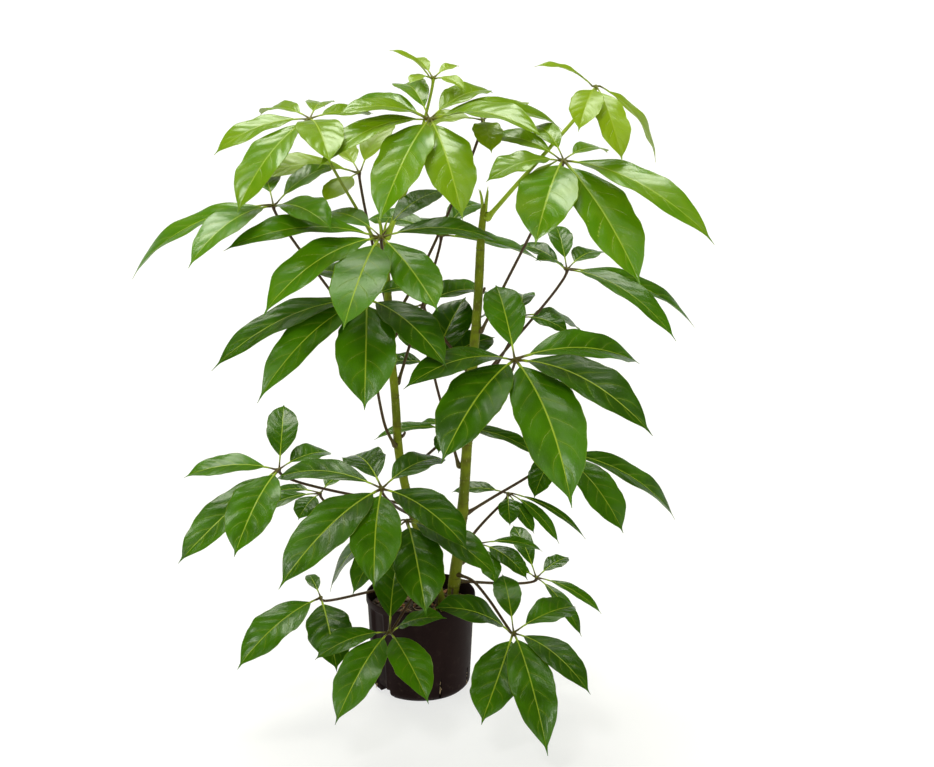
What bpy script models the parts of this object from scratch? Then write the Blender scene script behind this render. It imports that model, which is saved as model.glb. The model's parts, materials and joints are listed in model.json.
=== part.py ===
"""A potted umbrella plant (Schefflera) as it stands in its nursery pot.

Two green trunks grow out of one black pot.  Each leaf is one grown piece: a long thin petiole
with a hub at its end, from which stalked leaflets spread like the ribs of an umbrella.
Metres, +Z up, the origin at the middle of the pot's foot, the plant's best side towards -Y.
"""
import math

import bmesh
import bpy
from mathutils import Vector
from mathutils.bvhtree import BVHTree

# Pot
POT_HEIGHT = 0.165
POT_RIM_RADIUS = 0.0925
POT_FOOT_RADIUS = 0.083
POT_WALL = 0.0022
POT_CORNER = 0.013            # radius of the rounded bottom edge
POT_SIDES = 60
POT_FOOT_WIDTH = 0.012        # the ring it stands on
POT_CHANNEL = 0.006           # height of the drain channel between that ring and the middle
POT_MIDDLE_RADIUS = 0.038     # the flat middle of the base, which touches the ground too
POT_DRAFT = 0.002             # lean of the channel's walls
POT_LEVELS = (0.05, 0.10, 0.144)  # heights at which the wall and the filling have a ring
LIP_HEIGHT = 0.012
LIP_DEPTH = 0.0016
LIP_STEP = 0.0012             # height over which the wall steps out into the lip
RIM_ROUNDING = 0.001
GROOVE_BEARING = -146         # degrees, the moulded groove down the front left of the wall
GROOVE_HALF_ANGLE = 12.5
GROOVE_EDGE = 8.0             # degrees over which it rises to the wall
GROOVE_DEPTH = 0.0045
GROOVE_TOP_FADE = 0.008       # height over which it runs out below the lip
GROOVE_BOTTOM_FADE = 0.006
NOTCH_BEARING = -141
NOTCH_WIDTH = 0.034
NOTCH_HEIGHT = 0.015
NOTCH_DEPTH = 0.022
NOTCH_BELOW = 0.010           # how far its cutter reaches below the ground
SLOT_BEARINGS = [-67.5 + 45 * k for k in range(7)]
SLOT_WIDTH = 0.004
SLOT_BOTTOM = 0.004
SLOT_TOP = 0.040
CUTTER_REACH = 0.016          # how deep the slot cutters are, across the wall

# Substrate
SOIL_TOP = 0.143
SOIL_GAP = 0.0004             # clearance to the pot
SOCKET_GAP = 0.0006           # clearance to the trunks, which stand in it like cuttings
SOCKET_TOP = 0.184

# Trunks: points along each axis, then the radius there
TRUNKS = {
    "trunk_left": [((0.035, -0.014, 0.094), 0.0080), ((0.035, -0.014, 0.150), 0.0080),
                   ((0.017, -0.010, 0.215), 0.0078), ((-0.013, -0.004, 0.310), 0.0076),
                   ((-0.033, 0.000, 0.404), 0.0074), ((-0.039, 0.000, 0.505), 0.0070),
                   ((-0.046, 0.000, 0.600), 0.0064), ((-0.050, 0.000, 0.700), 0.0060),
                   ((-0.056, 0.000, 0.782), 0.0056)],
    "trunk_right": [((0.053, 0.006, 0.094), 0.0095), ((0.055, 0.006, 0.160), 0.0095),
                    ((0.063, 0.010, 0.230), 0.0092), ((0.073, 0.020, 0.320), 0.0090),
                    ((0.080, 0.022, 0.430), 0.0086), ((0.088, 0.030, 0.545), 0.0082),
                    ((0.097, 0.030, 0.660), 0.0076), ((0.102, 0.030, 0.765), 0.0072),
                    ((0.107, 0.030, 0.822), 0.0064)],
}
TRUNK_SIDES = 10
TRUNK_LEVELS = [0.12 + 0.03 * k for k in range(24)]
TRUNK_END = 0.010             # no level is nearer than this to a trunk's end
BUD_HEIGHT = 0.030            # the pointed growing tip on each trunk

# Leaves
GAP = 0.0004                  # clearance between a petiole's foot and its trunk
SCAR_SWELL = 0.0008           # a trunk's extra radius at a leaf's foot
SCAR_HEIGHT = 0.007
CLEAR = 0.0007                # extra half-thickness kept free around every blade and stalk
BLADE_THICKNESS = 0.0009
STALK_WIDTH = 0.0028          # a leaflet's own stalk
STALK_SHARE = 0.17            # its share of the leaflet's length
STALK_ROOM = 0.07             # from here on a stalk is kept clear of its neighbours
HUB_RADIUS = 0.0056
HUB_HALF_SIDE = 14.0          # degrees, half the hub's side that one leaflet stalk grows from
HUB_SPACING = 33.0            # degrees, the least turn from one stalk to the next
HUB_HALF_HEIGHT = 0.0022
PETIOLE_RADIUS = 0.0023
PETIOLE_FOOT_RADIUS = 0.0042  # it swells where it joins the trunk
PETIOLE_STATIONS = (1.0, 0.92, 0.82, 0.66, 0.44, 0.22, 0.0)  # from the hub to the foot
PETIOLE_HANDLE = 0.025        # it turns up into the hub over about this length
SIX_ROUND = [math.radians(60 * i) for i in range(6)]
PETIOLE_HANDLE_SHARE = 0.12   # and over no more than this share of its span
START_STEP = 0.004            # a foot moves out along its curve in these steps
START_LIMIT = 0.3
BOW_STEP = 0.006              # sideways bows that a petiole may take to be clear
BOW_TRIALS = 21
ARCH = 0.12                   # a leaflet's rise above its chord, in lengths
ARCH_CHOICES = (1.0, 0.5, 1.5)
SWINGS = range(-40, 41, 4)    # degrees that a leaflet may turn from its bearing to be clear
DIPS = range(-24, 25, 3)      # degrees that its droop may change
DEPTH_COST = 0.3              # moves along Y cost less than moves along X and Z
ARCH_COST = 0.1
GROUND_CLEARANCE = 0.004      # no leaflet hangs lower than this
BLADE_STATIONS = [(0.14, 0.66), (0.42, 1.0), (0.70, 0.84), (0.89, 0.40)]  # along, width share
FACING = 0.35                 # how far the leaves turn their faces towards the light at -Y

# Each leaf: trunk, height of its foot, hub, curve and bow of the petiole, then its leaflets as
# (bearing in degrees from +X, droop in degrees below level, length, width).
LEAVES = {
    "leaf_top_centre": ("trunk_left", 0.770, (0.020, -0.020, 0.964), 0.0, 0.0, [
        (-114, 35, 0.230, 0.080), (-74, 38, 0.210, 0.080), (-141, 15, 0.220, 0.052),
        (-39, 3, 0.210, 0.072), (-150, -6, 0.155, 0.050), (25, 7, 0.235, 0.058),
        (50, -10, 0.160, 0.054), (111, -14, 0.140, 0.050), (142, -2, 0.170, 0.052)]),
    "leaf_upper_right": ("trunk_right", 0.610, (0.229, -0.020, 0.899), 0.0, 0.0, [
        (-109, 33, 0.190, 0.092), (-63, 36, 0.270, 0.086), (-40, 20, 0.290, 0.066),
        (50, 1, 0.120, 0.042), (150, -11, 0.135, 0.052), (-150, 9, 0.140, 0.056),
        (120, 30, 0.120, 0.050), (100, -14, 0.110, 0.045)]),
    "leaf_middle_right": ("trunk_right", 0.430, (0.151, -0.100, 0.598), 0.0, 0.0, [
        (98, -32, 0.150, 0.066), (-144, 3, 0.210, 0.062), (-123, 27, 0.240, 0.094),
        (-73, 34, 0.290, 0.102), (-43, 15, 0.270, 0.080), (21, 8, 0.220, 0.080)]),
    "leaf_middle_left": ("trunk_left", 0.310, (-0.060, -0.120, 0.393), 0.1, 0.0, [
        (-93, 29, 0.200, 0.080), (-130, 22, 0.250, 0.080), (152, 5, 0.200, 0.058),
        (-44, 17, 0.190, 0.072), (112, -6, 0.130, 0.068), (48, -3, 0.150, 0.060)]),
    "leaf_fork": ("trunk_left", 0.728, (-0.057, -0.075, 0.789), 0.1, 0.0, [
        (-104, 25, 0.230, 0.084), (-140, 22, 0.240, 0.076), (-63, 23, 0.200, 0.072),
        (-165, 2, 0.240, 0.060), (127, -13, 0.120, 0.050), (7, 4, 0.180, 0.060),
        (60, -24, 0.150, 0.050)]),
    "leaf_left_of_trunk": ("trunk_left", 0.430, (-0.081, -0.060, 0.687), 0.4, 0.0, [
        (-90, 35, 0.220, 0.092), (-129, 24, 0.270, 0.066), (-146, 15, 0.280, 0.058),
        (-49, 25, 0.200, 0.070), (49, 5, 0.130, 0.046), (135, -3, 0.140, 0.050)]),
    "leaf_front_right": ("trunk_right", 0.195, (0.151, -0.130, 0.147), 0.0, 0.035, [
        (-80, 24, 0.245, 0.070), (-109, 23, 0.190, 0.080), (-52, 13, 0.180, 0.056),
        (36, -4, 0.130, 0.056), (97, -27, 0.120, 0.046), (-160, -26, 0.150, 0.062)]),
    "leaf_front_of_pot": ("trunk_left", 0.190, (-0.051, -0.140, 0.156), 0.0, 0.030, [
        (-115, 22, 0.200, 0.066), (-66, 21, 0.160, 0.064), (-150, 7, 0.130, 0.046),
        (-33, -25, 0.115, 0.042), (83, -35, 0.140, 0.064)]),
    "leaf_over_pot": ("trunk_left", 0.245, (-0.021, -0.080, 0.324), 0.1, 0.0, [
        (-80, 29, 0.190, 0.082), (-46, 12, 0.205, 0.060), (158, 47, 0.200, 0.050),
        (34, 40, 0.090, 0.032), (-135, 38, 0.150, 0.056)]),
    "leaf_top_left": ("trunk_left", 0.755, (-0.165, -0.030, 0.966), 0.0, 0.0, [
        (-128, 37, 0.205, 0.066), (-76, 17, 0.160, 0.070), (-162, 18, 0.155, 0.050),
        (130, 3, 0.130, 0.045), (83, -2, 0.120, 0.045), (40, -2, 0.120, 0.045)]),
    "leaf_far_left_upper": ("trunk_left", 0.560, (-0.224, -0.050, 0.835), 0.0, 0.0, [
        (-126, 19, 0.200, 0.062), (169, 28, 0.265, 0.056), (-52, 6, 0.155, 0.064),
        (100, -8, 0.150, 0.046), (40, -22, 0.130, 0.044)]),
    "leaf_far_left_middle": ("trunk_left", 0.325, (-0.231, -0.020, 0.393), 0.1, 0.0, [
        (-108, 24, 0.200, 0.078), (-130, 23, 0.240, 0.066), (-172, 2, 0.150, 0.058),
        (89, -37, 0.130, 0.052), (45, 0, 0.110, 0.052)]),
    "leaf_low_left": ("trunk_left", 0.185, (-0.168, -0.020, 0.166), 0.0, 0.012, [
        (-77, 26, 0.155, 0.076), (-135, 21, 0.190, 0.066), (110, -12, 0.065, 0.024)]),
    "leaf_top_right_young": ("trunk_right", 0.800, (0.282, 0.020, 1.010), 0.0, 0.0, [
        (-156, -19, 0.110, 0.024), (-109, 28, 0.120, 0.050), (-74, 43, 0.150, 0.052),
        (20, 50, 0.165, 0.046)]),
    "leaf_right": ("trunk_right", 0.520, (0.247, 0.080, 0.705), 0.0, 0.0, [
        (5, 26, 0.240, 0.052), (-44, 21, 0.235, 0.052), (51, -6, 0.100, 0.050),
        (97, -29, 0.110, 0.040), (140, -15, 0.100, 0.036), (-135, -20, 0.080, 0.034)]),
    "leaf_right_lower": ("trunk_right", 0.300, (0.231, 0.040, 0.399), 0.0, 0.0, [
        (-55, 29, 0.190, 0.062), (4, 32, 0.240, 0.058), (-117, 29, 0.105, 0.046),
        (110, 10, 0.130, 0.050)]),
    "leaf_crown_young": ("trunk_left", 0.776, (0.026, 0.020, 1.024), 0.1, 0.0, [
        (-160, -34, 0.080, 0.022), (-120, 2, 0.070, 0.024), (-50, 10, 0.070, 0.026),
        (115, -20, 0.070, 0.024), (50, -12, 0.060, 0.022)]),
    "leaf_behind_top_left": ("trunk_left", 0.660, (-0.094, 0.060, 0.870), 0.1, 0.0, [
        (-122, 19, 0.100, 0.044), (-166, 2, 0.175, 0.060), (60, -33, 0.130, 0.046),
        (112, -10, 0.120, 0.046)]),
    "leaf_behind_crown": ("trunk_left", 0.635, (0.107, 0.090, 0.950), 0.1, 0.0, [
        (-85, 20, 0.110, 0.048), (108, 0, 0.100, 0.040), (50, -6, 0.120, 0.044),
        (170, 10, 0.100, 0.044)]),
    "leaf_behind_trunks": ("trunk_left", 0.530, (0.038, 0.070, 0.763), 0.0, 0.0, [
        (28, 15, 0.200, 0.062), (97, 0, 0.120, 0.048), (150, -6, 0.140, 0.048),
        (60, -13, 0.140, 0.048)]),
    "leaf_behind_right": ("trunk_right", 0.490, (0.170, 0.070, 0.627), 0.0, 0.0, [
        (29, 21, 0.130, 0.052), (-30, 12, 0.085, 0.040), (133, 15, 0.100, 0.044),
        (85, -5, 0.110, 0.044)]),
    "leaf_between_trunks_lower": ("trunk_right", 0.375, (0.023, 0.035, 0.553), 0.0, 0.0, [
        (64, -35, 0.155, 0.072), (20, -14, 0.135, 0.060), (118, -20, 0.140, 0.062),
        (165, 5, 0.090, 0.040)]),
    "leaf_between_trunks_upper": ("trunk_right", 0.545, (0.009, 0.070, 0.648), 0.0, 0.0, [
        (-150, 20, 0.080, 0.034), (180, 45, 0.120, 0.034), (40, 1, 0.140, 0.060),
        (90, -11, 0.120, 0.052)]),
    "leaf_small_centre": ("trunk_left", 0.375, (0.052, 0.075, 0.430), 0.0, 0.0, [
        (-172, 5, 0.125, 0.028), (139, 7, 0.070, 0.022), (-110, 22, 0.060, 0.030),
        (-10, 16, 0.155, 0.032)]),
    "leaf_small_right": ("trunk_right", 0.225, (0.151, 0.070, 0.316), -0.2, 0.0, [
        (165, 4, 0.095, 0.034), (-89, 33, 0.065, 0.036), (-56, 35, 0.085, 0.026),
        (-36, 35, 0.120, 0.024), (-12, 30, 0.150, 0.018)]),
    "leaf_low_right": ("trunk_right", 0.180, (0.202, 0.075, 0.159), 0.0, 0.0, [
        (109, -28, 0.120, 0.036), (40, -12, 0.075, 0.036), (150, -10, 0.050, 0.022),
        (-58, 26, 0.140, 0.026), (-25, 22, 0.125, 0.024)]),
    "leaf_small_left": ("trunk_left", 0.215, (-0.170, 0.060, 0.323), 0.0, 0.0, [
        (154, 12, 0.100, 0.028), (-160, 12, 0.120, 0.032), (-118, 20, 0.070, 0.040),
        (60, -8, 0.070, 0.034)]),
    "leaf_above_rim": ("trunk_right", 0.212, (0.101, 0.036, 0.238), 0.0, 0.0, [
        (-48, 16, 0.115, 0.042), (12, 13, 0.110, 0.022), (-75, 22, 0.095, 0.036)]),
}
YOUNG_LEAVES = ("leaf_top_right_young", "leaf_crown_young")


def material(name, colour, roughness):
    """A plain Principled material."""
    made = bpy.data.materials.new(name)
    made.use_nodes = True
    shader = made.node_tree.nodes["Principled BSDF"]
    shader.inputs["Base Color"].default_value = (*colour, 1.0)
    shader.inputs["Roughness"].default_value = roughness
    made.diffuse_color = (*colour, 1.0)
    return made


def add_object(name, bm, finish):
    """Turn a bmesh into a named object with its faces pointing out."""
    bmesh.ops.recalc_face_normals(bm, faces=bm.faces)
    mesh = bpy.data.meshes.new(name)
    bm.to_mesh(mesh)
    bm.free()
    mesh.materials.append(finish)
    mesh.shade_smooth()
    mesh.set_sharp_from_angle(angle=math.radians(35))
    made = bpy.data.objects.new(name, mesh)
    bpy.context.scene.collection.objects.link(made)
    return made


def bridge(bm, lower, upper):
    """Join two rings of the same number of vertices with quads."""
    count = len(lower)
    for i in range(count):
        j = (i + 1) % count
        bm.faces.new((lower[i], lower[j], upper[j], upper[i]))


def polar(radius, degrees, z=0.0):
    angle = math.radians(degrees)
    return Vector((radius * math.cos(angle), radius * math.sin(angle), z))


def smooth_step(x):
    x = min(max(x, 0.0), 1.0)
    return x * x * (3 - 2 * x)


# ---------------------------------------------------------------- pot and substrate
def wall_radius(z):
    """Outer radius of the tapered wall, without its lip and groove."""
    return POT_FOOT_RADIUS + (POT_RIM_RADIUS - LIP_DEPTH - POT_FOOT_RADIUS) * z / POT_HEIGHT


def groove(degrees, z):
    """How far the moulded groove pushes the wall in at this bearing and height."""
    off = abs((degrees - GROOVE_BEARING + 180) % 360 - 180)
    across = smooth_step((GROOVE_HALF_ANGLE - off) / GROOVE_EDGE)
    top_fade = smooth_step((POT_HEIGHT - LIP_HEIGHT - z) / GROOVE_TOP_FADE)
    fade = top_fade * smooth_step(z / GROOVE_BOTTOM_FADE)
    return GROOVE_DEPTH * across * fade


def pot_profile():
    """Radius, height and whether the groove shapes it, from under the floor round to inside."""
    foot_outside = POT_FOOT_RADIUS - POT_CORNER * 0.55
    foot_inside = foot_outside - POT_FOOT_WIDTH
    points = [(POT_MIDDLE_RADIUS, 0.0, False),
              (POT_MIDDLE_RADIUS + POT_DRAFT, POT_CHANNEL, False),
              (foot_inside - POT_DRAFT, POT_CHANNEL, False), (foot_inside, 0.0, False),
              (foot_outside, 0.0, False)]
    for step in range(1, 5):
        turn = math.radians(22.5 * step)
        radius = wall_radius(POT_CORNER) - POT_CORNER * (1 - math.sin(turn))
        points.append((radius, POT_CORNER * (1 - math.cos(turn)), True))
    lip_bottom = POT_HEIGHT - LIP_HEIGHT
    points += [(wall_radius(z), z, True) for z in (*POT_LEVELS, lip_bottom)]
    points += [(POT_RIM_RADIUS, lip_bottom + LIP_STEP, False),
               (POT_RIM_RADIUS, POT_HEIGHT - RIM_ROUNDING, False),
               (POT_RIM_RADIUS - RIM_ROUNDING, POT_HEIGHT, False),
               (POT_RIM_RADIUS - POT_WALL, POT_HEIGHT, False)]
    points += [(wall_radius(z) - POT_WALL, z, True)
               for z in (lip_bottom - RIM_ROUNDING, *reversed(POT_LEVELS))]
    channel_top = POT_CHANNEL + POT_WALL
    points += [(wall_radius(POT_CORNER) - POT_WALL, POT_CORNER + 0.002, True),
               (POT_FOOT_RADIUS - POT_CORNER * 0.8, channel_top, False),
               (POT_MIDDLE_RADIUS, channel_top, False),
               (POT_MIDDLE_RADIUS - POT_DRAFT, POT_WALL, False)]
    return points


def ring_points(radius, z, grooved):
    points = []
    for i in range(POT_SIDES):
        bearing = 360 * i / POT_SIDES
        push = groove(bearing, z) if grooved else 0.0
        points.append(polar(radius - push, bearing, z))
    return points


def cutter_box(name, size, centre, bearing, target):
    """A box that a Boolean takes out of the target."""
    bm = bmesh.new()
    bmesh.ops.create_cube(bm, size=1.0)
    bmesh.ops.scale(bm, vec=size, verts=bm.verts)
    mesh = bpy.data.meshes.new(name)
    bm.to_mesh(mesh)
    bm.free()
    box = bpy.data.objects.new(name, mesh)
    bpy.context.scene.collection.objects.link(box)
    box.location = centre
    box.rotation_euler.z = math.radians(bearing)
    box.hide_render = True
    box.display_type = "WIRE"
    cut = target.modifiers.new(name, "BOOLEAN")
    cut.operation = "DIFFERENCE"
    cut.solver = "EXACT"
    cut.object = box


def build_pot(finish):
    bm = bmesh.new()
    rings = []
    for radius, z, grooved in pot_profile():
        rings.append([bm.verts.new(p) for p in ring_points(radius, z, grooved)])
    for lower, upper in zip(rings, rings[1:]):
        bridge(bm, lower, upper)
    bm.faces.new(rings[0])
    bm.faces.new(rings[-1])
    pot = add_object("pot", bm, finish)
    centre = polar(POT_FOOT_RADIUS, NOTCH_BEARING, (NOTCH_HEIGHT - NOTCH_BELOW) / 2)
    cutter_box("notch_cutter", (2 * NOTCH_DEPTH, NOTCH_WIDTH, NOTCH_HEIGHT + NOTCH_BELOW), centre,
               NOTCH_BEARING, pot)
    for number, bearing in enumerate(SLOT_BEARINGS):
        height = SLOT_TOP - SLOT_BOTTOM
        middle = polar(POT_FOOT_RADIUS, bearing, SLOT_BOTTOM + height / 2)
        cutter_box(f"slot_cutter_{number}", (CUTTER_REACH, SLOT_WIDTH, height), middle, bearing,
                   pot)
    return pot


def build_substrate(finish):
    """The filling, with two sockets in which the trunks stand."""
    bm = bmesh.new()
    floor_z = POT_CHANNEL + POT_WALL + SOIL_GAP
    floor_radius = POT_FOOT_RADIUS - POT_CORNER * 0.8 - 0.004
    rings = []
    for radius, z in ((POT_MIDDLE_RADIUS - 0.003, POT_WALL + SOIL_GAP),
                      (POT_MIDDLE_RADIUS - 0.001, floor_z), (floor_radius, floor_z)):
        rings.append([bm.verts.new(p) for p in ring_points(radius, z, False)])
    for z in (POT_CORNER + 0.007, *POT_LEVELS[:2], SOIL_TOP):
        inside = wall_radius(z) - POT_WALL - 2 * SOIL_GAP
        rings.append([bm.verts.new(p) for p in ring_points(inside, z, True)])
    for share, ripple in ((0.80, 0.0022), (0.45, 0.0030)):
        radius = wall_radius(SOIL_TOP) * share
        ring = []
        for i in range(POT_SIDES):
            bearing = 360 * i / POT_SIDES
            lift = ripple * (0.5 + 0.5 * math.sin(math.radians(bearing * 5 + 900 * share)))
            ring.append(bm.verts.new(polar(radius, bearing, SOIL_TOP + lift)))
        rings.append(ring)
    for lower, upper in zip(rings, rings[1:]):
        bridge(bm, lower, upper)
    bm.faces.new(rings[0])
    centre = bm.verts.new((0, 0, SOIL_TOP + 0.002))
    for i in range(POT_SIDES):
        bm.faces.new((rings[-1][i], rings[-1][(i + 1) % POT_SIDES], centre))
    soil = add_object("substrate", bm, finish)
    for name in TRUNKS:
        bm = bmesh.new()
        rings = trunk_rings(bm, name, TRUNKS[name][0][0][2] - SOCKET_GAP, SOCKET_TOP, SOCKET_GAP)
        for lower, upper in zip(rings, rings[1:]):
            bridge(bm, lower, upper)
        bm.faces.new(rings[0])
        bm.faces.new(rings[-1])
        cutter = add_object(name + "_socket_cutter", bm, finish)
        cutter.hide_render = True
        cutter.display_type = "WIRE"
        cut = soil.modifiers.new(cutter.name, "BOOLEAN")
        cut.operation = "DIFFERENCE"
        cut.solver = "EXACT"
        cut.object = cutter
    return soil


# ---------------------------------------------------------------- trunks
def spline(points, share):
    """A point on the smooth curve through the given (place, radius) pairs."""
    last = len(points) - 1
    position = min(max(share, 0.0), 1.0) * last
    index = min(int(position), last - 1)
    t = position - index
    picks = [points[min(max(index + k, 0), last)] for k in (-1, 0, 1, 2)]
    weights = (-t ** 3 + 2 * t ** 2 - t, 3 * t ** 3 - 5 * t ** 2 + 2,
               -3 * t ** 3 + 4 * t ** 2 + t, t ** 3 - t ** 2)
    place = sum((Vector(p[0]) * w for p, w in zip(picks, weights)), Vector()) / 2
    radius = sum(p[1] * w for p, w in zip(picks, weights)) / 2
    return place, radius


def trunk_at(name, z):
    """The axis point and radius of a trunk at a height."""
    low, high = 0.0, 1.0
    for _ in range(40):
        middle = (low + high) / 2
        if spline(TRUNKS[name], middle)[0].z < z:
            low = middle
        else:
            high = middle
    return spline(TRUNKS[name], low)


def scar_swell(name, z):
    """A trunk thickens a little at every leaf's foot."""
    swell = 0.0
    for trunk, foot, *_ in LEAVES.values():
        if trunk == name:
            swell = max(swell, SCAR_SWELL * math.exp(-((z - foot) / SCAR_HEIGHT) ** 2))
    return swell


def trunk_rings(bm, name, bottom, top, grow):
    """Rings of a trunk's skin at fixed heights, with its two ends."""
    levels = [z for z in TRUNK_LEVELS if bottom + TRUNK_END < z < top - TRUNK_END]
    rings = []
    for z in [bottom, *levels, top]:
        place, radius = trunk_at(name, z)
        place.z = z
        radius += scar_swell(name, z) + grow
        rings.append([bm.verts.new(place + polar(radius, 360 * i / TRUNK_SIDES))
                      for i in range(TRUNK_SIDES)])
    return rings


def build_trunk(name, finish):
    points = TRUNKS[name]
    bm = bmesh.new()
    rings = trunk_rings(bm, name, points[0][0][2], points[-1][0][2], 0.0)
    place, radius = spline(points, 1.0)
    for lift, share in ((0.25, 0.85), (0.6, 0.5)):
        rings.append([bm.verts.new(place + polar(radius * share, 360 * i / TRUNK_SIDES,
                                                 BUD_HEIGHT * lift))
                      for i in range(TRUNK_SIDES)])
    for lower, upper in zip(rings, rings[1:]):
        bridge(bm, lower, upper)
    bm.faces.new(rings[0])
    tip = bm.verts.new(place + Vector((0, 0, BUD_HEIGHT)))
    for i in range(TRUNK_SIDES):
        bm.faces.new((rings[-1][i], rings[-1][(i + 1) % TRUNK_SIDES], tip))
    return add_object(name, bm, finish)


# ---------------------------------------------------------------- leaves
def bezier(start, control, end, t):
    return start * (1 - t) ** 2 + control * (2 * t * (1 - t)) + end * t ** 2


def bezier_tangent(start, control, end, t):
    return ((control - start) * (1 - t) + (end - control) * t).normalized()


def petiole_point(curve, t):
    """A point of the petiole's cubic curve, from its foot to the hub."""
    a, b, c, d = curve
    return a * (1 - t) ** 3 + b * (3 * t * (1 - t) ** 2) + c * (3 * t * t * (1 - t)) + d * t ** 3


def petiole_tangent(curve, t):
    return (petiole_point(curve, t + 0.001) - petiole_point(curve, t - 0.001)).normalized()


def facing():
    return Vector((0, -FACING, 1)).normalized()


def leaflet_sections(root, bearing, droop, length, width, arch, grow=None):
    """Cross-sections of one leaflet from its stalk's end to near its tip, and its tip.

    Each section is (left top, right top, right bottom, left bottom), seen from the hub.
    With grow they start near the hub and stand that much larger, as room to keep free.
    """
    level = math.cos(math.radians(droop))
    tip = root + polar(length * level, bearing, -length * math.sin(math.radians(droop)))
    chord = (tip - root).normalized()
    side = facing().cross(chord).normalized()
    upward = chord.cross(side).normalized()
    control = (root + tip) / 2 + upward * (2 * arch * length)
    sections = []
    stations = [(STALK_SHARE, STALK_WIDTH, STALK_WIDTH)]
    if grow is not None:
        stations.insert(0, (STALK_ROOM, STALK_WIDTH, STALK_WIDTH))
    grow = grow or 0.0
    for along, share in BLADE_STATIONS:
        t = STALK_SHARE + (1 - STALK_SHARE) * along
        stations.append((t, width * share, BLADE_THICKNESS))
    for t, across, thick in stations:
        centre = bezier(root, control, tip, t)
        tangent = bezier_tangent(root, control, tip, t)
        normal = tangent.cross(side).normalized()
        out = side * (across / 2 + grow)
        rise = normal * (thick / 2 + grow)
        sections.append((centre + out + rise, centre - out + rise,
                         centre - out - rise, centre + out - rise))
    return sections, tip


def shell_polygons(sections, tip=None):
    """Corner points and faces of the closed tube through the sections."""
    points = [corner for section in sections for corner in section]
    faces = []
    size = len(sections[0])
    for k in range(len(sections) - 1):
        for i in range(size):
            j = (i + 1) % size
            faces.append((k * size + i, k * size + j, (k + 1) * size + j))
            faces.append((k * size + i, (k + 1) * size + j, (k + 1) * size + i))
    if tip is not None:
        points.append(tip)
        last = (len(sections) - 1) * size
        faces += [(last + i, last + (i + 1) % size, len(points) - 1) for i in range(size)]
    return points, faces


class Obstacle:
    """A solid that later growth keeps clear of."""

    def __init__(self, points, faces):
        self.tree = BVHTree.FromPolygons(points, faces)
        self.low = [min(p[i] for p in points) for i in range(3)]
        self.high = [max(p[i] for p in points) for i in range(3)]

    def touches(self, other):
        if any(self.low[i] > other.high[i] or other.low[i] > self.high[i] for i in range(3)):
            return False
        return bool(self.tree.overlap(other.tree))


def object_obstacle(made):
    """The solid of a finished object, taken a little larger than it is."""
    mesh = made.data
    points = [v.co + v.normal * CLEAR for v in mesh.vertices]
    return Obstacle(points, [tuple(p.vertices) for p in mesh.polygons])


def petiole_ring(curve, t, angles, radius):
    """Points round a petiole, square to its curve."""
    centre = petiole_point(curve, t)
    tangent = petiole_tangent(curve, t)
    towards = Vector((1, 0, 0))
    across = (towards - tangent * towards.dot(tangent)).normalized()
    other = tangent.cross(across)
    return [centre + (across * math.cos(turn) + other * math.sin(turn)) * radius
            for turn in angles]


def petiole_curve(leaf, shift):
    """The four control points of a petiole, from its foot on the trunk up into the hub."""
    trunk, foot, hub, curve, bow, _ = leaf
    hub = Vector(hub)
    top = hub - facing() * HUB_HALF_HEIGHT * 1.5
    axis, trunk_radius = trunk_at(trunk, foot)
    away = Vector((hub.x - axis.x, hub.y - axis.y + shift, 0)).normalized()
    base = axis + away * (trunk_radius + scar_swell(trunk, foot) + GAP)
    span = top - base
    middle = base + Vector((span.x * (0.5 + curve), span.y * (0.5 + curve) + shift,
                            span.z * (0.5 - curve) + 2 * bow))
    handle = min(PETIOLE_HANDLE, span.length * PETIOLE_HANDLE_SHARE)
    return base, base.lerp(middle, 0.667), top - facing() * handle, top


def petiole_start(leaf, curve):
    """How far up its curve a petiole's foot has to start to be clear of its trunk."""
    start = 0.0
    while start < START_LIMIT:
        clear = True
        for rim in petiole_ring(curve, start, SIX_ROUND, PETIOLE_FOOT_RADIUS):
            axis, radius = trunk_at(leaf[0], rim.z)
            clear &= (rim - axis).to_2d().length > radius + scar_swell(leaf[0], rim.z) + GAP
        if clear:
            return start
        start += START_STEP
    return start


def petiole_rings(leaf, angles, shift, grow=0.0):
    """Rings of a petiole from just under the hub to its foot on the trunk."""
    curve = petiole_curve(leaf, shift)
    start = petiole_start(leaf, curve)
    rings = []
    for station in PETIOLE_STATIONS:
        radius = (PETIOLE_RADIUS if station else PETIOLE_FOOT_RADIUS) + grow
        rings.append(petiole_ring(curve, start + (1 - start) * station, angles, radius))
    return rings


def settle_petiole(name, leaf, obstacles):
    """The least sideways bow that keeps a petiole clear of what has grown already."""
    for step in range(BOW_TRIALS):
        shift = BOW_STEP * ((step + 1) // 2) * (1 if step % 2 else -1)
        rings = petiole_rings(leaf, SIX_ROUND, shift)
        trial = Obstacle(*shell_polygons(rings))
        if not any(trial.touches(other) for other in obstacles):
            return shift
    print("no clear petiole for", name)
    return 0.0


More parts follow.
